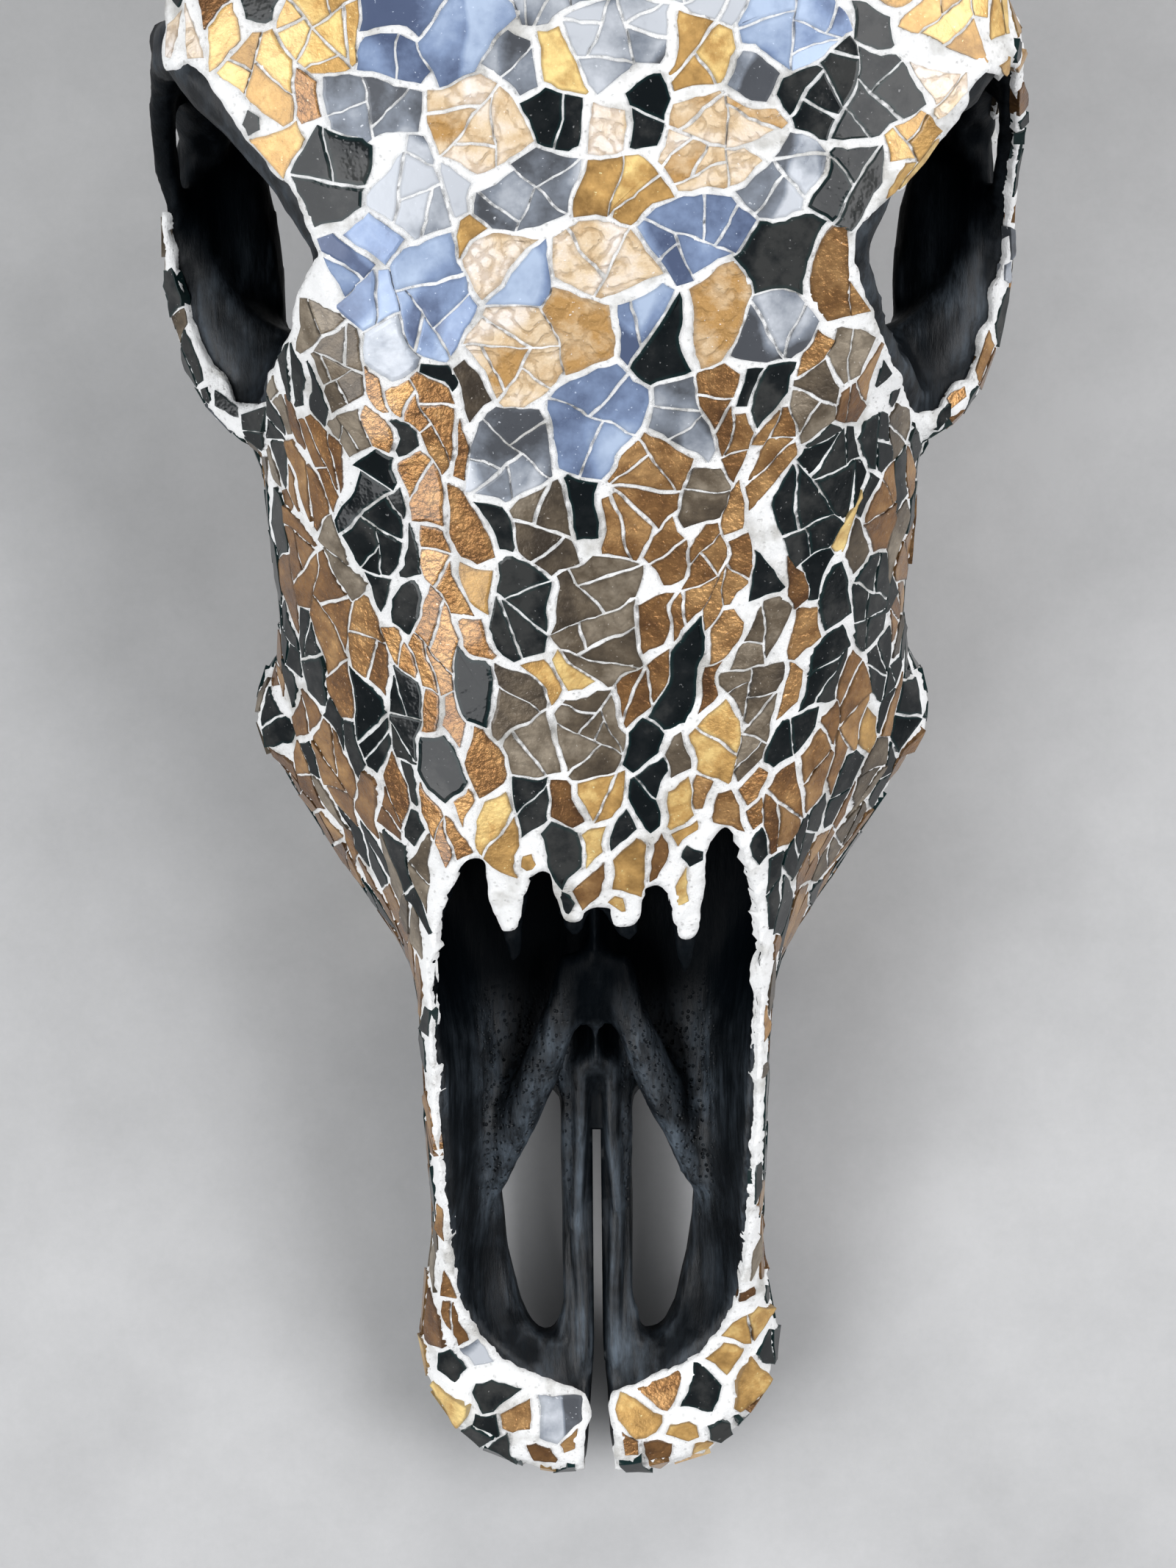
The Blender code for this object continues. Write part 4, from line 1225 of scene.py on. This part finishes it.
    def break_tiles(self) -> None:
        """Fits the tiles to the skin, cuts and cracks them, and sets the shards."""
        blunt = self.covering.tip_y + 48 * MM
        for tile in self.tiles:
            laying = LAYINGS[tile.region]
            if len(tile.loop) < 3:
                continue
            whole = tile.seed.y < blunt
            large = tile.size > laying.size_mm * MM * 1.22 and not whole
            slack = 2.2 if whole else 1.7 if tile.region is Region.EYE_RIM else tile.slack
            flatness = self.flatness_mm * MM * slack
            for sheet in self.fitted(tile, max(flatness, self.flatness_mm * 3 * MM)):
                sheet = self.trimmed(sheet)
                if not sheet:
                    continue
                pieces = [sheet] if large or whole else self.cut_down(sheet, laying.piece_mm2, laying.gap_mm * 0.75 * MM)
                for piece in pieces:
                    if len(pieces) > 1 and self.chance.random() < 0.3:
                        drawn = self.chance.choices(list(laying.shares), list(laying.shares.values()))[0]
                        piece = piece.part(piece.loop, drawn)
                    if large or self.chance.random() < laying.cracked:
                        shards = self.cut_down(piece, self.chance.uniform(38, 90), self.crack_mm * MM)
                    else:
                        shards = [piece]
                    for shard in shards:
                        for flat in self.fitted(shard, flatness):
                            self.set_shard(flat)

    def set_shard(self, tile: Tile) -> None:
        """Gives a shard its broken outline, sets it in place and keeps it."""
        chipped = tile.part(self.bent(tile, 1.7, ((150, self.crook_mm), (480, self.chip_mm))))
        proud = self.proud_mm * MM * self.chance.uniform(0.3, 1.8)
        placed = self.seated(chipped, proud, math.radians(self.tilt_degrees)) if len(chipped.loop) > 2 else None
        placed = placed and self.trimmed(placed)
        if placed and placed.area_mm2() / placed.rim_mm() > 0.8 and self.sits_well(placed):
            self.shards.append(placed)

    def sits_well(self, tile: Tile) -> bool:
        """Whether a placed shard lies on the skin and doesn't cover another one."""
        limit = self.floating_mm * MM * (1.35 if tile.region in (Region.MUZZLE_TIP, Region.EYE_RIM) else 1)
        for point in tile.probes():
            spot, _, _, _ = self.surface.find_nearest(point)
            if (point - spot).length > limit:
                return False
        middle = tile.middle()
        reach = max((point - middle).length for point in tile.loop)
        for other, centre, radius in self.placed:
            if (centre - middle).length > reach + radius or other.normal.dot(tile.normal) < 0.2:
                continue
            if sum(other.covers(point) for point in tile.loop) > 1 or tile.covers(centre) or other.covers(middle):
                return False
        self.placed.append((tile, middle, reach))
        return True

    def set_chips(self) -> None:
        """Sets small chips in the places that the tiles left bare."""
        glass = self.glass_tree()
        chips: list[tuple[Vector, float]] = []
        order = np.flatnonzero(self.depth > 1.8).tolist()
        self.chance.shuffle(order)
        for index in order:
            point = Vector(self.skin.points[index])
            room = glass.find_nearest(point)[3] / MM - 0.9
            room = min(room, 5.5, self.edge_distance(point)[0] / MM - 0.9)
            if room < 1.5 or any((point - other).length < (room + size + 1.0) * MM for other, size in chips):
                continue
            tile = self.tile_at(index, 1.0)
            side = tile.along.cross(tile.normal)
            turn = self.chance.uniform(0, math.tau)
            for k in range(5):
                angle = turn + math.tau * (k + self.chance.uniform(-0.25, 0.25)) / 5
                reach = room * MM * self.chance.uniform(0.75, 1.1)
                tile.loop.append(point + (tile.along * math.cos(angle) * 1.1 + side * math.sin(angle)) * reach)
            chips.append((point, room))
            self.set_shard(tile)
        log.info("%d chips", len(chips))

    def glass_tree(self) -> BVHTree:
        """A search over the upper faces of all the shards set so far."""
        verts: Loop = []
        faces: list[tuple[int, ...]] = []
        for shard in self.shards:
            faces.append(tuple(range(len(verts), len(verts) + len(shard.loop))))
            verts += shard.loop
        return BVHTree.FromPolygons(verts, faces)

    def build(self) -> list[bpy.types.Object]:
        """Lays, cuts, breaks and sets the glass.

        Returns:
            One joined piece for each kind of glass.
        """
        self.lay_tiles()
        self.cut_tiles()
        self.break_tiles()
        self.set_chips()
        log.info("%d tiles, %d shards", len(self.tiles), len(self.shards))
        made = []
        for kind, finish in GLASS_FINISHES.items():
            bm = bmesh.new()
            tops = {self.add_prism(bm, tile): tile.area_mm2() / tile.rim_mm() for tile in self.shards if tile.glass is kind}
            for face in bm.faces:
                face.material_index = 1
            # clear is 0 on each shard's outer edge and 1 inside its rim; the face material paints shade across that
            # rim.
            clear = bm.verts.layers.float.new("clear")
            for narrow, wide, rim in zip((0.0, 1.1, 1.7, 2.4), (1.1, 1.7, 2.4, 1e9), self.rims_mm):
                group = [face for face, reach in tops.items() if narrow <= reach < wide]
                for face in group:
                    face.material_index = 0
                bmesh.ops.inset_individual(
                    bm, faces=group, thickness=rim * MM, depth=0.06 * rim * MM, use_even_offset=True
                )
            for face in tops:
                for vert in face.verts:
                    vert[clear] = 1.0
            obj = object_from(bm, f"{kind.value}_glass", False)
            made.append(finish_piece(obj, [glass_face(kind, finish), glass_edge(kind, finish)]))
        return made

    def add_prism(self, bm: bmesh.types.BMesh, tile: Tile) -> bmesh.types.BMFace:
        """Adds one shard as a slab under its outline.

        Args:
            bm: the bmesh that it goes into.
            tile: the shard.

        Returns:
            The shard's upper face.
        """
        bottom = -self.thickness_mm * MM
        face = bm.faces.new([bm.verts.new(point + tile.normal * bottom) for point in tile.loop])
        face.normal_update()
        if face.normal.dot(tile.normal) > 0:
            face.normal_flip()
        lifted = bmesh.ops.extrude_face_region(bm, geom=[face], use_keep_orig=True)["geom"]
        risen = [v for v in lifted if isinstance(v, bmesh.types.BMVert)]
        bmesh.ops.translate(bm, verts=risen, vec=tile.normal * -bottom)
        upper = next(f for f in lifted if isinstance(f, bmesh.types.BMFace))
        shell = {f for v in (*face.verts, *risen) for f in v.link_faces}
        bmesh.ops.recalc_face_normals(bm, faces=list(shell))
        return upper


@dataclass
class GroutBed:
    """The bed of grout: it fills the lines between the shards and ends in a ragged lip."""

    skin: Skin
    mosaic: Mosaic
    below_mm: float = 0.30
    under_glass_mm: float = 0.20
    deepest_mm: float = 1.3
    lump_mm: float = 0.42
    lip_mm: float = 0.9
    lip_reach_mm: float = 5.0
    skirt_mm: float = 3.4

    def heights(self) -> np.ndarray:
        """How far the grout's face stands off the skin at each of its points, in metres."""
        glass = self.mosaic.glass_tree()
        heights = np.zeros(len(self.skin.points))
        t = self.mosaic.covering.spots(self.skin.points)[:, 1]
        thin = np.maximum(fade(t, 46, 60, 124, 140), 0.8 * fade(t, 262, 272, 345, 355))
        for i in np.flatnonzero(self.mosaic.depth > -2):
            point, normal = Vector(self.skin.points[i]), Vector(self.skin.broad_normals[i])
            lumps = noise.noise(point * 420) + 0.7 * noise.noise(point * 160)
            stand = -self.below_mm + self.lump_mm * lumps
            distance, _ = self.mosaic.edge_distance(point)
            near = max(0.0, 1 - abs(distance) / (self.lip_reach_mm * MM)) * (1 - 0.75 * thin[i])
            stand += self.lip_mm * near * (0.55 + noise.noise(point * 260))
            found, _, _, reach = glass.ray_cast(point - normal * 4 * MM, normal, 9 * MM)
            if found:
                stand = max(reach / MM - 4 - self.under_glass_mm, -self.deepest_mm)
            heights[i] = stand * MM
        return heights

    def build(self) -> bpy.types.Object:
        """Makes the bed from the covered part of the skin.

        Returns:
            The grout.
        """
        depth = self.mosaic.depth
        heights = self.heights()
        bm = bmesh.new()
        bm.from_mesh(self.skin.obj.data)
        bm.verts.ensure_lookup_table()
        reached = {}
        for edge in bm.edges:
            a, b = edge.verts
            if (depth[a.index] > 0) != (depth[b.index] > 0):
                inner, outer = (a, b) if depth[a.index] > 0 else (b, a)
                share = depth[inner.index] / (depth[inner.index] - depth[outer.index])
                reached.setdefault(inner, []).append(inner.co.lerp(outer.co, min(0.9, share)))
        for vert, spots in reached.items():
            vert.co = sum(spots, Vector()) / len(spots)
        for vert, height, normal in zip(bm.verts, heights, self.skin.broad_normals):
            vert.co += Vector(normal) * height
        bare = [v for v, inside in zip(bm.verts, depth) if inside <= 0]
        bmesh.ops.delete(bm, geom=bare, context="VERTS")
        self.drop_crumbs(bm)
        inward = {v: -v.normal.copy() for v in bm.verts}
        rim = [e for e in bm.edges if e.is_boundary]
        ends = list({v: None for e in rim for v in e.verts})
        for _ in range(2):
            means = [sum((e.other_vert(v).co for e in v.link_edges if e.is_boundary), Vector()) / 2 for v in ends]
            for vert, mean in zip(ends, means):
                if sum(e.is_boundary for e in vert.link_edges) == 2:
                    vert.co = vert.co.lerp(mean, 0.5)
        made = bmesh.ops.extrude_edge_only(bm, edges=rim)["geom"]
        for vert in (g for g in made if isinstance(g, bmesh.types.BMVert)):
            source = next((e.other_vert(vert) for e in vert.link_edges if e.other_vert(vert) in inward), None)
            if source:
                vert.co += inward[source] * self.skirt_mm * MM
        bmesh.ops.recalc_face_normals(bm, faces=bm.faces)
        obj = object_from(bm, "grout_bed", True)
        return finish_piece(obj, [GroutFinish().dress()])

    def drop_crumbs(self, bm: bmesh.types.BMesh) -> None:
        """Deletes patches of grout too small to hold a shard."""
        left = set(bm.verts)
        while left:
            group, heap = set(), [left.pop()]
            while heap:
                vert = heap.pop()
                group.add(vert)
                for edge in vert.link_edges:
                    other = edge.other_vert(vert)
                    if other in left:
                        left.remove(other)
                        heap.append(other)
            if len(group) < 250:
                bmesh.ops.delete(bm, geom=list(group), context="VERTS")


@dataclass
class PaintedBone:
    """The skull's bone, bare in the eyes, the nose, underneath and behind.

    slit is the cut between the incisive bones, as (t, half-width) in mm.
    """

    node: bpy.types.Object
    covering: Field
    mosaic: Mosaic
    slit: tuple = ((-6, 3.6), (2, 3.1), (10, 2.8), (20, 2.2), (29, 1.5), (36, 1.2), (92, 1.1))
    voxel_mm: float = 1.7
    kept: float = 0.56
    inset_mm: float = 1.7
    shoulder_mm: float = 9.0
    relief_mm: float = 0.35
    rod_relief_mm: float = 1.3
    pore_mm: float = 1.3

    def build(self) -> bpy.types.Object:
        """Makes the bone, set back under the grout and near its edge.

        Returns:
            The bone, which stands for the skull's CAD node.
        """
        obj = remeshed_copy(self.node, "painted_bone", self.voxel_mm, 6)
        skin = Skin(obj)
        depth = self.covering.cover(skin.points, skin.normals)
        carved, wear_and_sheen, porous = self.carved(skin)
        x, t, z = self.covering.spots(skin.points).T
        prong = (t < 156) & (t > 130) & (np.abs(x) < 30) & (z > 66)
        points = skin.points.copy()
        for i, inside in enumerate(depth > 0):
            point, normal = Vector(points[i]), Vector(skin.normals[i])
            if inside:
                set_back = self.inset_mm
            else:
                _, index, distance = self.mosaic.edge_tree.find(point)
                alike = Vector(self.mosaic.edge_normals[index]).dot(normal)
                reach = self.shoulder_mm * MM * (0.25 if prong[i] else 1.0)
                near = max(0.0, 1 - distance / reach) * max(0.0, min(1.0, alike * 2.5))
                set_back = self.inset_mm * near - carved[i] * (0.4 if prong[i] else 1.0)
            points[i] = point - normal * set_back * MM
        obj.data.vertices.foreach_set("co", points.astype(np.float32).ravel())
        for name, values in (("wear_and_sheen", wear_and_sheen), ("porous", porous)):
            obj.data.attributes.new(name, "FLOAT", "POINT").data.foreach_set("value", values.astype(np.float32))
        obj.data.update()
        obj.modifiers.new("thin", "DECIMATE").ratio = self.kept
        applied(obj)
        self.cut_slit(obj)
        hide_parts("skull")
        return finish_piece(obj, [BonePaint().dress()])

    def carved(self, skin: Skin) -> tuple[np.ndarray, np.ndarray, np.ndarray]:
        """Relief that the CAD shape leaves out: ridged rods, porous palate lips and a grain.

        Args:
            skin: the bone's even skin.

        Returns:
            How far each point is raised, in mm, how much cool grey its paint takes (dry-brushed wear,
            a painted highlight and sheen, and less as painted shade deep in the nose and the orbits),
            and how porous it is.
        """
        x, t, z = self.covering.spots(skin.points).T
        far, up = np.abs(x), skin.normals[:, 2]
        grain = np.array([noise.noise(Vector((p[0] * 260, p[1] * 60, p[2] * 260))) for p in skin.points.tolist()])
        rough = np.array([noise.noise(Vector(p) * 330) + 0.6 * noise.noise(Vector(p) * 700) for p in skin.points.tolist()])
        upward = np.clip(up * 1.6, 0, 1)
        rods = fade(t, 24, 34, 100, 112) * fade(far, -2, -1, 9.5, 11.5) * upward
        lips = fade(t, 66, 78, 116, 136) * fade(far, 6, 9, 29, 33) * fade(z, -5, 0, 52, 62) * upward
        crest = np.cos((far - 4.6 - 0.6 * np.sin(t / 9)) / 3.3 * math.pi)
        raised = -self.relief_mm * (grain + 0.3)
        raised += rods * self.rod_relief_mm * crest
        raised -= lips * self.pore_mm * np.clip(rough - 0.12, 0, 0.7)
        edge = np.clip(skin.bulge() * 0.55, 0, 1)
        # A cool grey on the paint: dry-brushed wear on edges, lips and the muzzle's tip, a painted highlight along the
        # rods' crests, and a painted sheen in the orbits and on the nose's walls.
        wear_and_sheen = 0.07 + 0.40 * edge + 0.70 * lips + rods * (0.10 + 0.75 * crest.clip(0, 1))
        wear_and_sheen += 0.30 * fade(t, 20, 27, 36, 52) * (far < 16) * upward
        wear_and_sheen += 0.12 * fade(t, 262, 272, 300, 318) * (far > 60)
        wear_and_sheen += 0.16 * fade(t, 30, 50, 120, 134) * (far > 24) * (far < 43)
        # Painted shade: much less of that grey deep inside the nose and in the orbits.
        wear_and_sheen *= 1 - 0.9 * fade(t, 112, 134, 345, 360) * (far < 58) * (z < 135)
        wear_and_sheen *= 1 - 0.8 * fade(t, 300, 320, 360, 380) * (z < 140)
        return raised, wear_and_sheen.clip(0, 1), lips

    def cut_slit(self, obj: bpy.types.Object) -> None:
        """Opens the narrow slit, which the even skin is too coarse to keep."""
        outline = [(side * width, t) for side, row in ((1, self.slit), (-1, self.slit[::-1])) for t, width in row]
        bm = bmesh.new()
        tip_y = self.covering.tip_y
        face = bm.faces.new([bm.verts.new((x * MM, t * MM + tip_y, -0.02)) for x, t in outline])
        lifted = bmesh.ops.extrude_face_region(bm, geom=[face], use_keep_orig=True)["geom"]
        bmesh.ops.translate(bm, verts=[v for v in lifted if isinstance(v, bmesh.types.BMVert)], vec=(0, 0, 0.085))
        bmesh.ops.recalc_face_normals(bm, faces=bm.faces)
        cutter = object_from(bm, "slit_cutter", False)
        cut = obj.modifiers.new("slit", "BOOLEAN")
        cut.operation = "DIFFERENCE"
        cut.object = cutter
        applied(obj)
        bpy.data.objects.remove(cutter)


# Horns and teeth


@dataclass
class HornSheath:
    """One horn: ringed at its root, smooth and pointed at its end."""

    name: str
    node: bpy.types.Object
    voxel_mm: float = 1.6
    ring_mm: float = 0.8
    ring_pitch_mm: float = 8.5
    ringed_mm: float = 95.0

    def build(self, material: bpy.types.Material) -> bpy.types.Object:
        """Makes the horn from its CAD node's shape.

        Args:
            material: the horn's material.

        Returns:
            The horn.
        """
        obj = remeshed_copy(self.node, f"{self.name}_sheath", self.voxel_mm, 8)
        skin = Skin(obj)
        root = np.abs(skin.points[:, 0]).min()
        points = skin.points.copy()
        for i, (x, y, z) in enumerate(skin.points.tolist()):
            run = (abs(x) - root) / MM * 1.05 + (y - skin.points[:, 1].min()) / MM * 0.35
            wobble = 7.0 * noise.noise(Vector((x, y, z)) * 22) + 2.0 * noise.noise(Vector((x, y, z)) * 90)
            fade = max(0.0, 1 - run / self.ringed_mm) ** 0.7
            ring = math.sin((run + wobble) / self.ring_pitch_mm * math.tau) - 1
            ring *= 0.55 + 0.45 * noise.noise(Vector((abs(x) * 70, y * 20, z * 20)))
            fibre = 0.30 * noise.noise(Vector((x * 40, y * 120, z * 420)))
            points[i] += skin.normals[i] * (self.ring_mm * 0.5 * fade * ring + fibre * fade) * MM
        obj.data.vertices.foreach_set("co", points.astype(np.float32).ravel())
        obj.data.update()
        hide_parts(self.name)
        return finish_piece(obj, [material])


@dataclass
class CheekTooth:
    """One cheek tooth: a ribbed crown whose ground-down face has crescents of enamel."""

    name: str
    cuts: int = 19
    squareness: float = 5.0
    lobe: float = 0.26
    crescent_mm: float = 1.3
    cusp_mm: float = 2.4
    waist: float = 0.06

    def build(self, material: bpy.types.Material) -> bpy.types.Object:
        """Makes the tooth inside its CAD node's box.

        Args:
            material: the material of all the teeth.

        Returns:
            The tooth.
        """
        low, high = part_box(self.name)
        size = high - low
        middle = (low + high) / 2
        bm = bmesh.new()
        bmesh.ops.create_cube(bm, size=1.0)
        bmesh.ops.subdivide_edges(bm, edges=bm.edges, cuts=self.cuts, use_grid_fill=True)
        molar = self.name.startswith("molar")
        lobes = 2 if molar else 1
        cheekward = 1 if self.name.endswith("left") else -1
        cusp = self.cusp_mm * MM / size.z
        for vert in bm.verts:
            x, y, z = vert.co
            side = max(abs(x), abs(y)) * 2
            corner = math.pow(abs(x * 2) ** self.squareness + abs(y * 2) ** self.squareness, 1 / self.squareness)
            rounding = side / max(corner, 1e-6)
            crown = 0.5 - z
            at = y * 2 if molar else y + 0.5
            fold = abs(math.sin(math.pi * at))
            if x * cheekward < 0:
                shape = 1 - self.lobe * (1 - fold**0.7)
            else:
                rib = 0.5 * math.exp(-(((abs(at) - 0.5) / 0.14) ** 2))
                shape = 1 - self.lobe * (1 - min(1.0, (1 - fold) ** 0.6 + rib))
            vert.co.x = x * rounding * (shape - self.waist * (1 - crown))
            vert.co.y = y * rounding * (1 - self.waist * 0.6 * (1 - crown))
            if z < -0.49 and side < 0.9:
                phase = (y * lobes * 2 + 0.5) % 1.0 - 0.5
                arc = abs(math.hypot(abs(x) * 2 - 0.42, phase * 1.1) - 0.24)
                ridge = max(0.0, 1 - arc / 0.11)
                vert.co.z = z + (self.crescent_mm * MM / size.z) * (1 - ridge) * min(1.0, (0.9 - side) * 6)
            vert.co.z += cusp * (1 - fold) * max(0.0, -0.2 - z) / 0.3
        bmesh.ops.scale(bm, vec=size, verts=bm.verts)
        bmesh.ops.translate(bm, vec=middle, verts=bm.verts)
        bmesh.ops.smooth_vert(
            bm, verts=bm.verts, factor=0.35, use_axis_x=True, use_axis_y=True, use_axis_z=False
        )
        bmesh.ops.recalc_face_normals(bm, faces=bm.faces)
        obj = object_from(bm, f"{self.name}_crown", True)
        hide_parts(self.name)
        return finish_piece(obj, [material])


# Camera, light and floor


@dataclass
class Studio:
    """The camera straight above the skull, soft light and a plain floor."""

    tip_y: float
    height: float = 0.815
    over_t_mm: float = 184.0
    aside_mm: float = -1.4
    roll_degrees: float = -0.55
    focal_px: float = 4039.0
    floor_side: float = 6.0

    def camera(self) -> None:
        """Sets the camera at the photograph's distance and angle."""
        data = bpy.data.cameras.new("above")
        data.sensor_width = 36.0
        data.lens = self.focal_px / PHOTO_HEIGHT * data.sensor_width
        data.clip_start, data.clip_end = 0.01, 50.0
        obj = bpy.data.objects.new("above", data)
        bpy.context.scene.collection.objects.link(obj)
        obj.location = (self.aside_mm * MM, self.over_t_mm * MM + self.tip_y, self.height)
        obj.rotation_euler = (0, 0, math.radians(self.roll_degrees))
        bpy.context.scene.camera = obj

    def lamp(self, name: str, place: Colour, aim: Colour, side: tuple[float, float], watts: float, colour: Colour) -> None:
        """Adds one rectangular soft light.

        Args:
            name: its name.
            place: where it is.
            aim: the point that it faces.
            side: its width and height.
            watts: its power.
            colour: its colour.
        """
        data = bpy.data.lights.new(name, "AREA")
        data.shape = "RECTANGLE"
        data.size, data.size_y = side
        data.energy = watts
        data.color = colour
        obj = bpy.data.objects.new(name, data)
        bpy.context.scene.collection.objects.link(obj)
        obj.location = place
        obj.rotation_euler = (Vector(aim) - Vector(place)).to_track_quat("-Z", "Y").to_euler()

    def floor(self) -> None:
        """Adds the pale floor that the skull rests on."""
        bm = bmesh.new()
        bmesh.ops.create_grid(bm, x_segments=1, y_segments=1, size=self.floor_side / 2)
        obj = object_from(bm, "floor", False)
        shader = Shader("pale_floor", Roughness=0.8, Specular_IOR_Level=0.2)
        cloud = shader.math("ADD", shader.noise(90.0, 5, 0.62), shader.math("MULTIPLY", shader.noise(2.2, 3, 0.7), 0.18))
        shader.to(shader.ramp(cloud, (0.40, (0.38, 0.38, 0.38)), (0.78, (0.475, 0.475, 0.475))), "Base Color")
        obj.data.materials.append(shader.material)

    def build(self) -> None:
        """Sets up everything that isn't the skull."""
        bpy.context.scene.view_settings.view_transform = "Standard"
        self.camera()
        self.floor()
        world = bpy.data.worlds.new("room")
        bpy.context.scene.world = world
        world.use_nodes = True
        world.node_tree.nodes["Background"].inputs["Color"].default_value = (0.62, 0.64, 0.67, 1)
        world.node_tree.nodes["Background"].inputs["Strength"].default_value = 0.47
        self.lamp("window", (-1.45, -0.65, 1.4), (0, -0.05, 0.1), (1.6, 1.3), 39, (0.97, 0.98, 1.0))
        self.lamp("far_window", (1.5, 0.0, 1.5), (0, 0.05, 0.1), (1.6, 1.3), 38, (0.98, 0.98, 1.0))
        self.lamp("back", (0.3, 1.9, 1.2), (0, 0.2, 0.0), (1.4, 0.9), 20, (1.0, 0.99, 0.97))


TEETH = [
    f"{kind}_{side}"
    for kind in ("premolar_2", "premolar_3", "premolar_4", "molar_1", "molar_2", "molar_3")
    for side in ("left", "right")
]


def main() -> None:
    """Builds every piece in order and reports it."""
    logging.basicConfig(level=logging.INFO, format="%(message)s")
    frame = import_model()
    nodes = frame["nodes"]
    tip_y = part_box("skull")[0].y
    covering = Field(tip_y)

    skin = Skin(remeshed_copy(nodes["skull"], "mosaic_skin", 1.35, 10))
    mosaic = Mosaic(skin, covering)
    mosaic.build()
    GroutBed(skin, mosaic).build()
    bpy.data.objects.remove(skin.obj)
    PaintedBone(nodes["skull"], covering, mosaic).build()

    horn = HornFinish().dress()
    for side in ("left", "right"):
        HornSheath(f"horn_{side}", nodes[f"horn_{side}"]).build(horn)
    tooth = ToothFinish().dress()
    for name in TEETH:
        CheekTooth(name).build(tooth)

    Studio(tip_y).build()
    bpy.context.view_layer.update()


if __name__ == "__main__":
    main()
